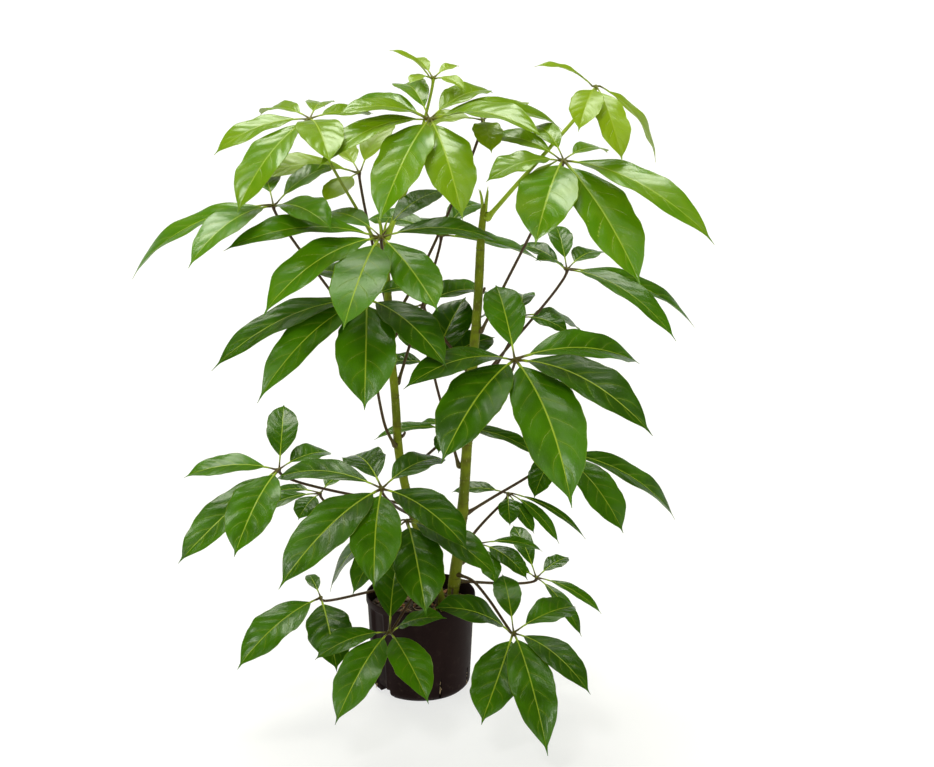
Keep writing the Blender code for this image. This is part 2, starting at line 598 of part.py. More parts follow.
def settle_leaflet(name, root, spec, obstacles):
    """The leaflet nearest to its own bearing, droop and arch that touches nothing.

    Candidates come in order of how little they change the view from -Y, so that a leaflet
    rather swings to the back or the front than to the side.
    """
    bearing, droop, length, width = spec
    home = root + polar(length * math.cos(math.radians(droop)), bearing,
                        -length * math.sin(math.radians(droop)))
    trials = []
    for swing in SWINGS:
        for dip in DIPS:
            for arch in [ARCH * choice for choice in ARCH_CHOICES]:
                flat = math.cos(math.radians(droop + dip))
                place = root + polar(length * flat, bearing + swing,
                                     -length * math.sin(math.radians(droop + dip)))
                off = place - home
                cost = math.hypot(off.x, off.z) + DEPTH_COST * abs(off.y)
                cost += ARCH_COST * abs(arch - ARCH)
                trials.append((round(cost, 6), swing, dip, arch))
    trials.sort()
    for _, swing, dip, arch in trials:
        sections, tip = leaflet_sections(root, bearing + swing, droop + dip, length, width,
                                         arch, 0.0)
        lowest = min(min(corner.z for corner in section) for section in sections)
        if min(lowest, tip.z) < GROUND_CLEARANCE:
            continue
        trial = Obstacle(*shell_polygons(sections, tip))
        if not any(trial.touches(other) for other in obstacles):
            return bearing + swing, droop + dip, arch
    print("no clear leaflet for", name, spec)
    return None


def stalk_turns(leaf):
    """The turn round the hub, in degrees, at which each leaflet's stalk leaves it."""
    leaflets = sorted(leaf[5])
    turns = [spec[0] for spec in leaflets]
    count = len(turns)
    for _ in range(200):
        for i in range(count):
            j = (i + 1) % count
            lap = 360 if j == 0 else 0
            short = HUB_SPACING - (turns[j] + lap - turns[i])
            if short > 0:
                turns[i] -= short / 2
                turns[j] += short / 2
    return leaflets, turns


def hub_point(hub, turn, radius, height):
    """A point of the hub, which faces the way its leaves do."""
    up = facing()
    across = Vector((1, 0, 0))
    back = up.cross(across)
    angle = math.radians(turn)
    return hub + (across * math.cos(angle) + back * math.sin(angle)) * radius + up * height


def stalk_root(hub, turn):
    return hub_point(hub, turn, HUB_RADIUS * math.cos(math.radians(HUB_HALF_SIDE)), 0.0)


def build_leaf(name, leaf, grown, shift, finish):
    """One closed skin over the petiole, the hub and all its leaflets."""
    leaflets, turns = stalk_turns(leaf)
    count = len(leaflets)
    hub = Vector(leaf[2])
    bm = bmesh.new()
    corners = [turn + side * HUB_HALF_SIDE for turn in turns for side in (-1, 1)]
    top = [bm.verts.new(hub_point(hub, turn, HUB_RADIUS, HUB_HALF_HEIGHT)) for turn in corners]
    low = [bm.verts.new(hub_point(hub, turn, HUB_RADIUS, -HUB_HALF_HEIGHT)) for turn in corners]
    bm.faces.new(top)
    for i, spec in enumerate(leaflets):
        right, left, following = 2 * i, 2 * i + 1, (2 * i + 2) % (2 * count)
        bm.faces.new((top[left], top[following], low[following], low[left]))
        ring = [top[left], top[right], low[right], low[left]]
        bearing, droop, arch = grown[spec]
        root = stalk_root(hub, turns[i])
        sections, tip = leaflet_sections(root, bearing, droop, spec[2], spec[3], arch)
        for section in sections:
            fresh = [bm.verts.new(corner) for corner in section]
            bridge(bm, ring, fresh)
            ring = fresh
        end = bm.verts.new(tip)
        for a in range(4):
            bm.faces.new((ring[a], ring[(a + 1) % 4], end))
    angles = [math.radians(turn) for turn in turns]
    ring = None
    for points in petiole_rings(leaf, angles, shift):
        fresh = [bm.verts.new(p) for p in points]
        if ring:
            bridge(bm, ring, fresh)
        else:
            for i in range(count):
                j = (i + 1) % count
                bm.faces.new((low[2 * i], low[2 * i + 1], fresh[i]))
                bm.faces.new((low[2 * i + 1], low[2 * j], fresh[j], fresh[i]))
        ring = fresh
    bm.faces.new(ring)
    return add_object(name, bm, finish)


def grow_leaves(obstacles, finishes):
    """All petioles grow first, then the leaflets, leaf by leaf."""
    shifts = {}
    for name, leaf in LEAVES.items():
        shifts[name] = settle_petiole(name, leaf, obstacles)
        rings = petiole_rings(leaf, SIX_ROUND, shifts[name], CLEAR)
        obstacles.append(Obstacle(*shell_polygons(rings)))
    for name, leaf in LEAVES.items():
        leaflets, turns = stalk_turns(leaf)
        hub = Vector(leaf[2])
        grown = {}
        for spec in leaf[5]:
            root = stalk_root(hub, turns[leaflets.index(spec)])
            found = settle_leaflet(name, root, spec, obstacles)
            grown[spec] = found or (spec[0], spec[1], ARCH)
            sections, tip = leaflet_sections(root, *grown[spec][:2], spec[2], spec[3],
                                             grown[spec][2], CLEAR)
            obstacles.append(Obstacle(*shell_polygons(sections, tip)))
        young = name in YOUNG_LEAVES
        build_leaf(name, leaf, grown, shifts[name], finishes["young" if young else "leaf"])


def main():
    for old in list(bpy.data.objects):
        bpy.data.objects.remove(old, do_unlink=True)
    pot = build_pot(material("black_plastic", (0.012, 0.010, 0.011), 0.45))
    build_substrate(material("dark_substrate", (0.030, 0.018, 0.010), 0.95))
    bark = material("green_bark", (0.150, 0.220, 0.020), 0.55)
    trunks = [build_trunk(name, bark) for name in TRUNKS]
    finishes = {"leaf": material("glossy_leaf", (0.045, 0.180, 0.010), 0.28),
                "young": material("young_leaf", (0.160, 0.330, 0.030), 0.35)}
    grow_leaves([object_obstacle(made) for made in [pot, *trunks]], finishes)


main()
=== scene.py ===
"""Looks of the potted umbrella plant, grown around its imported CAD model.

Each CAD leaf is read back ring by ring: the path of its petiole, its hub, and the root, tip,
breadth and lie of every leaflet.  A folded, waved and quilted blade with its own midrib is then
grown along each of them.  Trunks, pot and substrate are read from their nodes' rings and boxes.
Metres, +Z up, as in the CAD model.
"""
import json
import math
import random

import bmesh
import bpy
import numpy as np
from mathutils import Euler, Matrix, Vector, noise
from mathutils.bvhtree import BVHTree


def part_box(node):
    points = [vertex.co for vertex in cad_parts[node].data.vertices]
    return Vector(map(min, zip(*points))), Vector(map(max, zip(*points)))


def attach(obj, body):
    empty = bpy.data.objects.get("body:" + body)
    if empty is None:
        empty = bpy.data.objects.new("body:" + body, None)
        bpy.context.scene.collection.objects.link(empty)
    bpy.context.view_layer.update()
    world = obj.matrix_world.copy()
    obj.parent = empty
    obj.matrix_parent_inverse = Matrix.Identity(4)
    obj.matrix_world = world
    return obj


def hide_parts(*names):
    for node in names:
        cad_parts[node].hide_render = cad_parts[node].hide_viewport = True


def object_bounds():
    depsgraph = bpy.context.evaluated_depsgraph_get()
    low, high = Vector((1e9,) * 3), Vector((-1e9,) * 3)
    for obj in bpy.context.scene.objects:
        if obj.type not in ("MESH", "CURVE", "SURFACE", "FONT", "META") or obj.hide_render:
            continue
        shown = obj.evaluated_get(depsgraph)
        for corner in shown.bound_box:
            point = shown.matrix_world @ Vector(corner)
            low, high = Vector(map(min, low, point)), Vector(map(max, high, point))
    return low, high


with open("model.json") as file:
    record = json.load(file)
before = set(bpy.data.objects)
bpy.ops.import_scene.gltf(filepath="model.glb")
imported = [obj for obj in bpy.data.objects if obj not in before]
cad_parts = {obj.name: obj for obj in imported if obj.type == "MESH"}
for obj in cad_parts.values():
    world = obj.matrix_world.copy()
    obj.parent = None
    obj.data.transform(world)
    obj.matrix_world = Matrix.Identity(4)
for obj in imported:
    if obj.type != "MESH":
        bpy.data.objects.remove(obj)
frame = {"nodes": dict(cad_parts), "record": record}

CAD_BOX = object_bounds()
SOIL_LOW, SOIL_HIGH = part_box("substrate")
SLOTS = {part["node"]: part["material_slot"] for part in frame["record"]["subparts"]}
LEAF_NODES = sorted(name for name in frame["nodes"] if name.startswith("leaf_"))
YOUNG = {name for name in LEAF_NODES if SLOTS[name] == "young_leaf"}
# Grown leaves given the pale colour of the young ones as painted light, standing in for the glow
# of leaves lit from behind.  An age runs from 0, oldest and darkest, to 1; it is partly real age
# and partly painted light.
PAINTED_BACKLIGHT_AGES = {"leaf_behind_top_left": 0.90, "leaf_behind_crown": 0.95}
TURN = 2 * math.pi

# Camera
CAMERA_PLACE = (0.005, -2.6, 1.25)
CAMERA_PITCH = 15.45          # degrees below level
CAMERA_YAW = 1.62             # degrees to the right
CAMERA_LENS = 63.52

# Leaves, as the CAD model divides them
WELD = 0.00001
PAIR_GAP = 0.0012             # a blade's two faces lie closer together than this
LEAFLET_RINGS = 5             # four across the blade and one at its stalk's end
STALK_SHARE = 0.17            # the CAD stalk's share of a leaflet's length
BROAD_STATION = STALK_SHARE + (1 - STALK_SHARE) * 0.42

# Blades
ROWS = 46
HALF_COLUMNS = (0.0, 0.05, 0.13, 0.23, 0.34, 0.45, 0.56, 0.67, 0.78, 0.88, 0.95, 1.0)
BLADE_THICKNESS = 0.00045
END_HALF_WIDTH = 0.0003       # a blade narrows to this at both ends
VEINS = 6.5                   # side veins on each half
VEIN_LEAN = 0.17              # how far they run forward on their way out, in blade lengths
VEIN_SWEEP = 0.09             # and how much further by the margin
QUILT_HEIGHT = 0.0014         # rise of the blade between two side veins
FOLD = 0.31                   # slope of each half next to the midrib
FOLD_ROUNDING = 0.38          # each half rounds off towards its margin
FOLD_BALANCE = 0.17           # lowers the midrib so that the blade keeps to its place
WAVE = 0.075                  # rise of the margin's waves, in half widths
RIPPLE, FINE_RIPPLE = 0.024, 0.014    # unevenness of the margin, in half widths
BODY_END = 0.90               # the blade's body ends here on its way to the tip,
TIP_BREADTH = 0.62            # and a narrow point of this steepness goes on
# Each leaflet's own traits and the range that each is drawn from
TRAITS = (("broadest", 0.44, 0.54), ("base", 2.0, 2.4), ("taper", 2.25, 2.65), ("fold", 0.6, 1.3),
          ("wave", 0.6, 1.4), ("waves", 1.6, 2.8), ("phase_a", 0, TURN), ("phase_b", 0, TURN),
          ("phase_c", 0, TURN), ("phase_d", 0, TURN), ("twist", -9, 9), ("bend", -0.018, 0.018),
          ("curl", 0.006, 0.020), ("tint", 0, 1))
# How a blade may give way to its neighbours: the start of the blade, from its own short stalk (0)
# to the CAD stalk's end (1), and the strength of its folds and waves.
GIVE_WAYS = ((0.0, 1.0), (0.0, 0.6), (0.35, 1.0), (0.35, 0.6), (0.7, 1.0), (0.7, 0.6),
             (1.0, 0.9), (1.0, 0.6), (1.0, 0.3), (1.0, 0.12))

# Stalks
PETIOLE_RADIUS = 0.0023
THICK_PETIOLES = {"leaf_top_right_young": 1.55}
STALK_RADIUS = 0.0016
SHORT_STALK = 0.017           # a leaflet's own stalk, where it has room
STALK_SHARES = (0.065, 0.15)
MIDRIB_END_RADIUS = 0.00028
HUB_RADIUS = 0.0032
STALK_SIDES = 10
PETIOLE_SIDES = 14
PETIOLE_POINTS = 90


# ---- small tools
def smooth_step(x):
    x = np.clip(x, 0.0, 1.0)
    return x * x * (3 - 2 * x)


def unit(vectors):
    length = np.linalg.norm(vectors, axis=-1, keepdims=True)
    return vectors / np.maximum(length, 1e-12)


def curve_through(points, count):
    """Points of a smooth curve through the given ones, spaced evenly between each two."""
    points = np.asarray(points, float)
    padded = np.vstack([2 * points[0] - points[1], points, 2 * points[-1] - points[-2]])
    place = np.linspace(0, len(points) - 1, count)
    index = np.minimum(place.astype(int), len(points) - 2)
    t = (place - index)[:, None]
    a, b, c, d = (padded[index + k] for k in range(4))
    return 0.5 * (2 * b + (c - a) * t + (2 * a - 5 * b + 4 * c - d) * t ** 2
                  + (3 * b - a - 3 * c + d) * t ** 3)


def add_object(name, data):
    made = bpy.data.objects.new(name, data)
    bpy.context.scene.collection.objects.link(made)
    return made


def mesh_from(bm, name):
    mesh = bpy.data.meshes.new(name)
    bm.to_mesh(mesh)
    bm.free()
    return mesh


class Shape:
    """Closed skins gathered into one mesh, with named values at every vertex."""

    def __init__(self, values):
        self.points = []
        self.faces = []
        self.finishes = []
        self.count = 0
        self.values = {name: [] for name in values}

    def add(self, points, faces, finish, **values):
        points = np.asarray(points, float)
        self.points.append(points)
        self.faces += [tuple(i + self.count for i in face) for face in faces]
        self.finishes += [finish] * len(faces)
        for name, held in self.values.items():
            held.append(np.broadcast_to(values.get(name, 0.0), len(points)))
        self.count += len(points)

    def make(self, name, materials):
        mesh = bpy.data.meshes.new(name)
        mesh.from_pydata(np.vstack(self.points).tolist(), [], self.faces)
        for material in materials:
            mesh.materials.append(material)
        mesh.polygons.foreach_set("material_index", self.finishes)
        for key, held in self.values.items():
            made = mesh.attributes.new(key, "FLOAT", "POINT")
            made.data.foreach_set("value", np.concatenate(held).astype(np.float32))
        mesh.shade_smooth()
        mesh.update()
        return add_object(name, mesh)


def grid_faces(rows, columns, closed=False, start=0, flip=False):
    """Quads over a grid of points, which may close round its columns."""
    faces = []
    for r in range(rows - 1):
        for c in range(columns if closed else columns - 1):
            d = (c + 1) % columns
            face = (start + r * columns + c, start + r * columns + d,
                    start + (r + 1) * columns + d, start + (r + 1) * columns + c)
            faces.append(face[::-1] if flip else face)
    return faces


def skin_faces(rows, sides):
    """Faces of a skin closed round its columns, with a flat cap at both ends."""
    faces = grid_faces(rows, sides, closed=True)
    faces.append(tuple(range(sides))[::-1])
    faces.append(tuple(range(rows * sides - sides, rows * sides)))
    return faces


def tube(path, radii, sides):
    """Points and faces of a round tube with closed, rounded ends."""
    path = np.asarray(path, float)
    radii = np.broadcast_to(radii, len(path)).astype(float)
    first, last = unit(path[0] - path[1]), unit(path[-1] - path[-2])
    path = np.vstack([path[0] + first * radii[0] * 0.45, path,
                      path[-1] + last * radii[-1] * 0.45])
    radii = np.concatenate([[radii[0] * 0.55], radii, [radii[-1] * 0.55]])
    tangents = unit(np.gradient(path, axis=0))
    across = np.cross(tangents[0], (0.0, 0.0, 1.0))
    if np.linalg.norm(across) < 0.1:
        across = np.cross(tangents[0], (1.0, 0.0, 0.0))
    rings = []
    angles = np.linspace(0, TURN, sides, endpoint=False)[:, None]
    for centre, tangent, radius in zip(path, tangents, radii):
        across = unit(across - tangent * np.dot(across, tangent))
        other = np.cross(tangent, across)
        rings.append(centre + (across * np.cos(angles) + other * np.sin(angles)) * radius)
    return np.vstack(rings), skin_faces(len(path), sides)


def settle_piece(piece, node_name):
    """Has a piece ride on the plant's body in place of its CAD node."""
    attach(piece, "root")
    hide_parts(node_name)


# ---- reading the CAD leaves
def corner_array(verts):
    return np.array([v.co[:] for v in verts])


def next_ring(ring, seen):
    """The vertices that join a ring and haven't been passed yet."""
    found = []
    for vert in ring:
        for edge in vert.link_edges:
            other = edge.other_vert(vert)
            if other not in seen:
                seen.add(other)
                found.append(other)
    return found


def edge_points(ring):
    """The two edges of a blade's section, each halfway between its upper and lower corner."""
    corners = corner_array(ring)
    gaps = np.linalg.norm(corners[1:] - corners[0], axis=1)
    partner = 1 + int(gaps.argmin())
    others = [i for i in (1, 2, 3) if i != partner]
    return (corners[0] + corners[partner]) / 2, corners[others].mean(0), gaps.min()


def is_tip(vert):
    """A leaflet ends in a vertex with four neighbours, two and two a thickness apart."""
    if len(vert.link_edges) != 4:
        return False
    ring = [edge.other_vert(vert) for edge in vert.link_edges]
    one, two, gap = edge_points(ring)
    corners = corner_array(ring)
    gaps = sorted(np.linalg.norm(corners[i] - corners[j]) for i in range(4) for j in range(i))
    return gap < PAIR_GAP and gaps[1] < PAIR_GAP and np.linalg.norm(one - two) > 3 * PAIR_GAP


def round_centre(ring):
    """Centre of the circle or sphere that some unevenly spread vertices lie on."""
    corners = corner_array(ring)
    mean = corners.mean(0)
    off = corners - mean
    squares = (off ** 2).sum(1)
    centre = np.linalg.lstsq(2 * (off[1:] - off[0]), squares[1:] - squares[0], rcond=1e-3)[0]
    return mean + centre


def read_leaf(node):
    """The hub, the petiole's path down to its foot, and the leaflets of one CAD leaf."""
    bm = bmesh.new()
    bm.from_mesh(frame["nodes"][node].data)
    bmesh.ops.remove_doubles(bm, verts=bm.verts, dist=WELD)
    tips = sorted((v for v in bm.verts if is_tip(v)), key=lambda v: tuple(v.co))
    seen, leaflets, hub_ring = set(tips), [], []
    for tip in tips:
        rings = [[tip]]
        for _ in range(LEAFLET_RINGS + 1):
            rings.append(next_ring(rings[-1], seen))
        one, two, _ = edge_points(rings[3])
        leaflets.append({"tip": corner_array([tip])[0], "root": corner_array(rings[-1]).mean(0),
                         "middle": (one + two) / 2, "side": unit(one - two),
                         "width": float(np.linalg.norm(one - two))})
        hub_ring += rings[-1]
    hub = round_centre(hub_ring)
    petiole = []
    ring = next_ring(hub_ring, seen)
    while ring:
        petiole.append(round_centre(ring))
        ring = next_ring(ring, seen)
    bm.free()
    return {"node": node, "hub": hub, "petiole": petiole, "leaflets": leaflets}


# ---- blades
def settle_form(leaflet, rng):
    """Gives a leaflet the control point of its midrib's curve and its own small traits."""
    t = BROAD_STATION
    root, tip, middle = leaflet["root"], leaflet["tip"], leaflet["middle"]
    leaflet["control"] = (middle - root * (1 - t) ** 2 - tip * t ** 2) / (2 * t * (1 - t))
    chord = unit(tip - root)
    if np.dot(np.cross(chord, leaflet["side"]), (0, -0.35, 1)) < 0:
        leaflet["side"] = -leaflet["side"]
    leaflet["length"] = float(np.linalg.norm(tip - root))
    for name, low, high in TRAITS:
        leaflet[name] = rng.uniform(low, high)
    leaflet["fold"] *= FOLD
    leaflet["wave"] *= WAVE
    leaflet["twist"] = math.radians(leaflet["twist"])
    leaflet["short"] = float(np.clip(SHORT_STALK / leaflet["length"], *STALK_SHARES))
    give_way(leaflet, GIVE_WAYS[0])


def give_way(leaflet, manner):
    share, leaflet["relief"] = manner
    leaflet["start"] = leaflet["short"] + (STALK_SHARE - leaflet["short"]) * share


def midrib_frame(leaflet, t):
    """Centre, side and normal of the leaflet at shares t of its whole length."""
    relief, start = leaflet["relief"], leaflet["start"]
    t = np.asarray(t)[:, None]
    root, control, tip = leaflet["root"], leaflet["control"], leaflet["tip"]
    centre = root * (1 - t) ** 2 + control * (2 * t * (1 - t)) + tip * t ** 2
    tangent = unit((control - root) * (1 - t) + (tip - control) * t)
    side = np.broadcast_to(leaflet["side"], tangent.shape)
    normal = unit(np.cross(tangent, side))
    turn = leaflet["twist"] * relief * smooth_step((t - start) / (1 - start))
    turned = side * np.cos(turn) + normal * np.sin(turn)
    normal = normal * np.cos(turn) - side * np.sin(turn)
    swing = leaflet["bend"] * leaflet["length"] * np.sin(math.pi * t)
    fall = leaflet["curl"] * leaflet["length"] * smooth_step((t - 0.86) / 0.22)
    return centre + side * swing - normal * fall * relief, turned, normal


def outline(leaflet, u):
    """Share of the full width at shares u along the blade: rounded base, drawn-out tip."""
    m = leaflet["broadest"]
    inner = 1 - np.abs(1 - np.minimum(u, m) / m) ** leaflet["base"]
    s = np.clip((u - m) / (1 - m), 0, 1)
    body = np.clip(1 - (s / BODY_END) ** leaflet["taper"], 0, 1)
    spike = TIP_BREADTH * (1 - s) * smooth_step(s / 0.8)
    return np.where(u < m, inner, np.sqrt(body ** 2 + spike ** 2))


def vein_phase(u, v, tint):
    """Counts the side veins along a half blade: whole numbers lie on a vein."""
    reach = np.abs(v)
    return VEINS * (u - reach * (VEIN_LEAN + VEIN_SWEEP * reach ** 2)) + 0.5 * (v > 0) + 3 * tint


def blade_surface(leaflet, u, v):
    """Middle surface of a blade at shares u along (rows) and v across (columns)."""
    t = leaflet["start"] + (1 - leaflet["start"]) * u
    centre, side, normal = midrib_frame(leaflet, t)
    rows, columns = u[:, None], v[None, :]
    right = columns > 0
    a, b, c, d = (leaflet["phase_" + key] for key in "abcd")
    ripple = np.where(right, np.sin(TURN * 3.4 * rows + a), np.sin(TURN * 3.9 * rows + b))
    fine = np.where(right, np.sin(TURN * 8.3 * rows + c), np.sin(TURN * 7.4 * rows + d))
    uneven = 1 + (RIPPLE * ripple + FINE_RIPPLE * fine) * smooth_step((rows - 0.12) / 0.3)
    half = np.maximum(leaflet["width"] / 2 * outline(leaflet, rows) * uneven, END_HALF_WIDTH)
    reach = np.abs(columns)
    fold = leaflet["fold"] * half * (reach - FOLD_ROUNDING * reach ** 2 - FOLD_BALANCE)
    wave = np.where(right, np.sin(TURN * leaflet["waves"] * rows + c),
                    np.sin(TURN * leaflet["waves"] * rows + a))
    wave = leaflet["wave"] * half * reach ** 2 * wave * smooth_step(rows / 0.15)
    phase = vein_phase(rows, columns, leaflet["tint"])
    size = np.clip(half / 0.030, 0.2, 1.2)
    quilt = QUILT_HEIGHT * size * (np.abs(np.sin(math.pi * phase)) ** 0.8 - 0.5)
    quilt = quilt * smooth_step(reach / 0.25) * (1 - 0.75 * reach ** 3)
    height = leaflet["relief"] * (fold + wave + quilt)
    points = centre[:, None] + side[:, None] * (columns * half)[..., None]
    return points + normal[:, None] * height[..., None]


def columns_across():
    half = np.array(HALF_COLUMNS)
    return np.concatenate([-half[:0:-1], half])


def rows_along(count):
    even = np.linspace(0, 1, count)
    return 0.55 * even + 0.45 * (0.5 - 0.5 * np.cos(math.pi * even))


def blade_sheet(leaflet, count, columns):
    """A quick one-sided blade, to test for contact with others."""
    points = blade_surface(leaflet, rows_along(count), columns).reshape(-1, 3)
    return [Vector(p) for p in points], grid_faces(count, len(columns))


def add_blade(shape, leaflet, age):
    u, v = rows_along(ROWS), columns_across()
    surface = blade_surface(leaflet, u, v)
    normal = unit(np.cross(np.gradient(surface, axis=0), np.gradient(surface, axis=1)))
    thick = BLADE_THICKNESS * (1 - 0.4 * np.abs(v) ** 3)[None, :, None] / 2
    upper = (surface + normal * thick).reshape(-1, 3)
    lower = (surface - normal * thick).reshape(-1, 3)
    rows, columns = len(u), len(v)
    count = rows * columns
    faces = grid_faces(rows, columns, flip=True)
    faces += grid_faces(rows, columns, start=count)
    rim = [(r, 0) for r in range(rows)] + [(rows - 1, c) for c in range(1, columns)]
    rim += [(r, columns - 1) for r in range(rows - 2, -1, -1)]
    rim += [(0, c) for c in range(columns - 2, 0, -1)]
    loop = [r * columns + c for r, c in rim]
    for a, b in zip(loop, loop[1:] + loop[:1]):
        faces.append((a, b, b + count, a + count))
    along = np.repeat(u, columns)
    across = np.tile(v, rows)
    shape.add(np.vstack([upper, lower]), faces, 0, along=np.tile(along, 2),
              across=np.tile(across, 2), under=np.repeat([0.0, 1.0], count),
              tint=leaflet["tint"], age=age)


def add_midrib(shape, leaflet, hub, age):
    """The leaflet's stalk, which runs on as the midrib under its blade."""
    start = leaflet["start"]
    t = np.concatenate([np.linspace(0.01, start, 8, endpoint=False),
                        start + (1 - start) * np.linspace(0, 0.975, 36)])
    u = np.clip((t - start) / (1 - start), 0, 1)
    centre, _, normal = midrib_frame(leaflet, t)
    on_blade = smooth_step((t - start * 0.6) / (start * 0.5))
    size = np.clip(leaflet["width"] / 0.080, 0.62, 1.1)
    radii = (STALK_RADIUS * (1 - u) ** 0.8 + MIDRIB_END_RADIUS) * size
    radii *= 1 + 0.35 * np.exp(-(t / 0.035) ** 2) + 0.18 * np.exp(-((t - start) / 0.03) ** 2)
    half = leaflet["width"] / 2 * outline(leaflet, u)
    sink = leaflet["relief"] * leaflet["fold"] * half * FOLD_BALANCE + radii * 0.30
    path = centre - normal * (sink * on_blade)[:, None]
    path = np.vstack([hub * 0.75 + path[0] * 0.25, path])
    radii = np.concatenate([[radii[0] * 1.1], radii])
    points, faces = tube(path, radii, STALK_SIDES)
    share = np.concatenate([[0, 0], t, [t[-1]]])
    first = 0.12 + 0.18 * age
    green = first + (1 - first) * smooth_step((share - 0.02) / start)
    shape.add(points, faces, 1, green=np.repeat(green, STALK_SIDES), tint=leaflet["tint"],
              along=np.repeat(share, STALK_SIDES), age=age)


def add_petiole(shape, leaf, age, green):
    """The long stalk from the trunk to the hub, and the hub itself."""
    path = np.array([leaf["hub"], *leaf["petiole"]])
    foot = path[-1]
    inward = unit(foot - path[-2])
    inward[2] *= 0.3
    path = np.vstack([path[:-1], foot, foot + unit(inward) * 0.0045])
    path = curve_through(path, PETIOLE_POINTS)
    gone = np.concatenate([[0], np.cumsum(np.linalg.norm(np.diff(path, axis=0), axis=1))])
    left = gone[-1] - gone
    thick = np.linspace(1.0, THICK_PETIOLES.get(leaf["node"], 1.0), len(gone))
    radii = PETIOLE_RADIUS * thick * (1 + 0.55 * np.exp(-(gone / 0.006) ** 2)
                                      + 0.25 * np.exp(-left / 0.05)
                                      + 0.9 * np.exp(-(left / 0.010) ** 2))
    points, faces = tube(path, radii, PETIOLE_SIDES)
    share = np.concatenate([[gone[0]], gone, [gone[-1]]]) / gone[-1]
    tone = np.clip(green + 0.10 * share ** 4, 0, 1)
    shape.add(points, faces, 1, green=np.repeat(tone, PETIOLE_SIDES), tint=0.5,
              along=np.repeat(share, PETIOLE_SIDES), age=age)
    knob = bmesh.new()
    bmesh.ops.create_icosphere(knob, subdivisions=3, radius=HUB_RADIUS)
    points = [leaf["hub"] + np.array(v.co) * (1, 1, 0.8) for v in knob.verts]
    faces = [tuple(v.index for v in f.verts) for f in knob.faces]
    knob.free()
    shape.add(points, faces, 1, green=0.30, tint=0.5, age=age)


# ---- materials
# The age attribute spreads dark, middle and light over the plant, so upper leaves are lighter:
# partly real age, partly painted light and painted shade.
GROWN_LEAF = {"dark": (0.020, 0.076, 0.0004), "middle": (0.062, 0.196, 0.0011),
              "light": (0.160, 0.290, 0.003), "under": (0.240, 0.350, 0.003),
              "through": (0.500, 0.640, 0.002), "roughness": 0.23, "glow_share": 0.24}
YOUNG_LEAF = {"dark": (0.080, 0.190, 0.002), "middle": (0.160, 0.300, 0.002),
              "light": (0.250, 0.400, 0.004), "under": (0.260, 0.370, 0.002),
              "through": (0.560, 0.660, 0.001), "roughness": 0.33, "glow_share": 0.34}
GROWN_GLOSS, FRESH_GLOSS, YOUNG_GLOSS = 0.30, 0.56, 0.60
VEIN_PALE = (0.40, 0.50, 0.05)
LEAF_SHEEN = (0.94, 1.0, 0.84, 1.0)
STALK_BROWN, STALK_GREEN = (0.052, 0.022, 0.007), (0.310, 0.440, 0.016)
BARK_DARK, BARK_LIGHT = (0.100, 0.135, 0.002), (0.200, 0.250, 0.004)
BARK_STAIN, BARK_OLD = (0.080, 0.070, 0.008), (0.13, 0.10, 0.025)
BARK_PORE, BARK_SCAR = (0.32, 0.31, 0.09), (0.055, 0.035, 0.010)
POT_DARK, POT_LIGHT = (0.0100, 0.0042, 0.0038), (0.0165, 0.0076, 0.0070)
POT_DUST = (0.085, 0.062, 0.048)
SOIL_DARK, SOIL_BARK = (0.016, 0.009, 0.005), (0.060, 0.030, 0.014)
SOIL_CLAY, SOIL_SHADE = (0.26, 0.105, 0.035), (0.012, 0.008, 0.005)
ROOT_DARK, ROOT_LIGHT = (0.45, 0.30, 0.15), (0.62, 0.50, 0.32)


def node(tree, kind, inputs=None, **settings):
    """A shader node with its settings, and its inputs set or linked."""
    made = tree.nodes.new("ShaderNode" + kind)
    for key, value in settings.items():
        setattr(made, key, value)
    for key, value in (inputs or {}).items():
        if isinstance(value, bpy.types.NodeSocket):
            tree.links.new(value, made.inputs[key])
        else:
            made.inputs[key].default_value = value
    return made


def calc(tree, operation, a, b=0.0, c=0.0):
    return node(tree, "Math", {0: a, 1: b, 2: c}, operation=operation).outputs[0]


def step(tree, value, low, high):
    """0 below low, 1 above high, smooth in between; low may be the larger."""
    return node(tree, "MapRange", {"Value": value, "From Min": low, "From Max": high},
                interpolation_type="SMOOTHSTEP").outputs["Result"]


def blend(tree, share, one, two, how="MIX"):
    made = node(tree, "Mix", data_type="RGBA", blend_type=how)
    for socket, value in ((made.inputs[0], share), (made.inputs[6], one), (made.inputs[7], two)):
        if isinstance(value, bpy.types.NodeSocket):
            tree.links.new(value, socket)
        elif isinstance(value, (int, float)):
            socket.default_value = value
        else:
            socket.default_value = (*value, 1.0)
    return made.outputs[2]


def attribute(tree, name):
    return node(tree, "Attribute", attribute_name=name).outputs["Fac"]


def object_place(tree):
    return node(tree, "TexCoord").outputs["Object"]


def cloud(tree, scale, detail=3.0, stretch=None, roughness=0.5):
    """Noise in the object's own coordinates."""
    place = object_place(tree)
    if stretch:
        place = node(tree, "Mapping", {"Vector": place, "Scale": stretch}).outputs[0]
    return node(tree, "TexNoise", {"Vector": place, "Scale": scale, "Detail": detail,
                                   "Roughness": roughness}).outputs["Fac"]


def new_material(name):
    made = bpy.data.materials.new(name)
    made.use_nodes = True
    tree = made.node_tree
    tree.nodes.clear()
    return made, tree


def share_of(tree, factor, value):
    return calc(tree, "MULTIPLY", value, factor)


def scaled(tree, value, factor, added):
    return calc(tree, "MULTIPLY_ADD", value, factor, added)


def bumps(tree, strength, distance, height):
    return node(tree, "Bump", {"Strength": strength, "Distance": distance,
                               "Height": height}).outputs[0]


def finish_material(tree, surface):
    out = node(tree, "OutputMaterial")
    tree.links.new(surface, out.inputs["Surface"])


def finish_opaque(tree, colour, rough, gloss, bump):
    """Ends a material in one opaque surface with the given colour, roughness and relief."""
    skin = node(tree, "BsdfPrincipled", {"Base Color": colour, "Roughness": rough,
                                         "Specular IOR Level": gloss, "Normal": bump})
    finish_material(tree, skin.outputs[0])


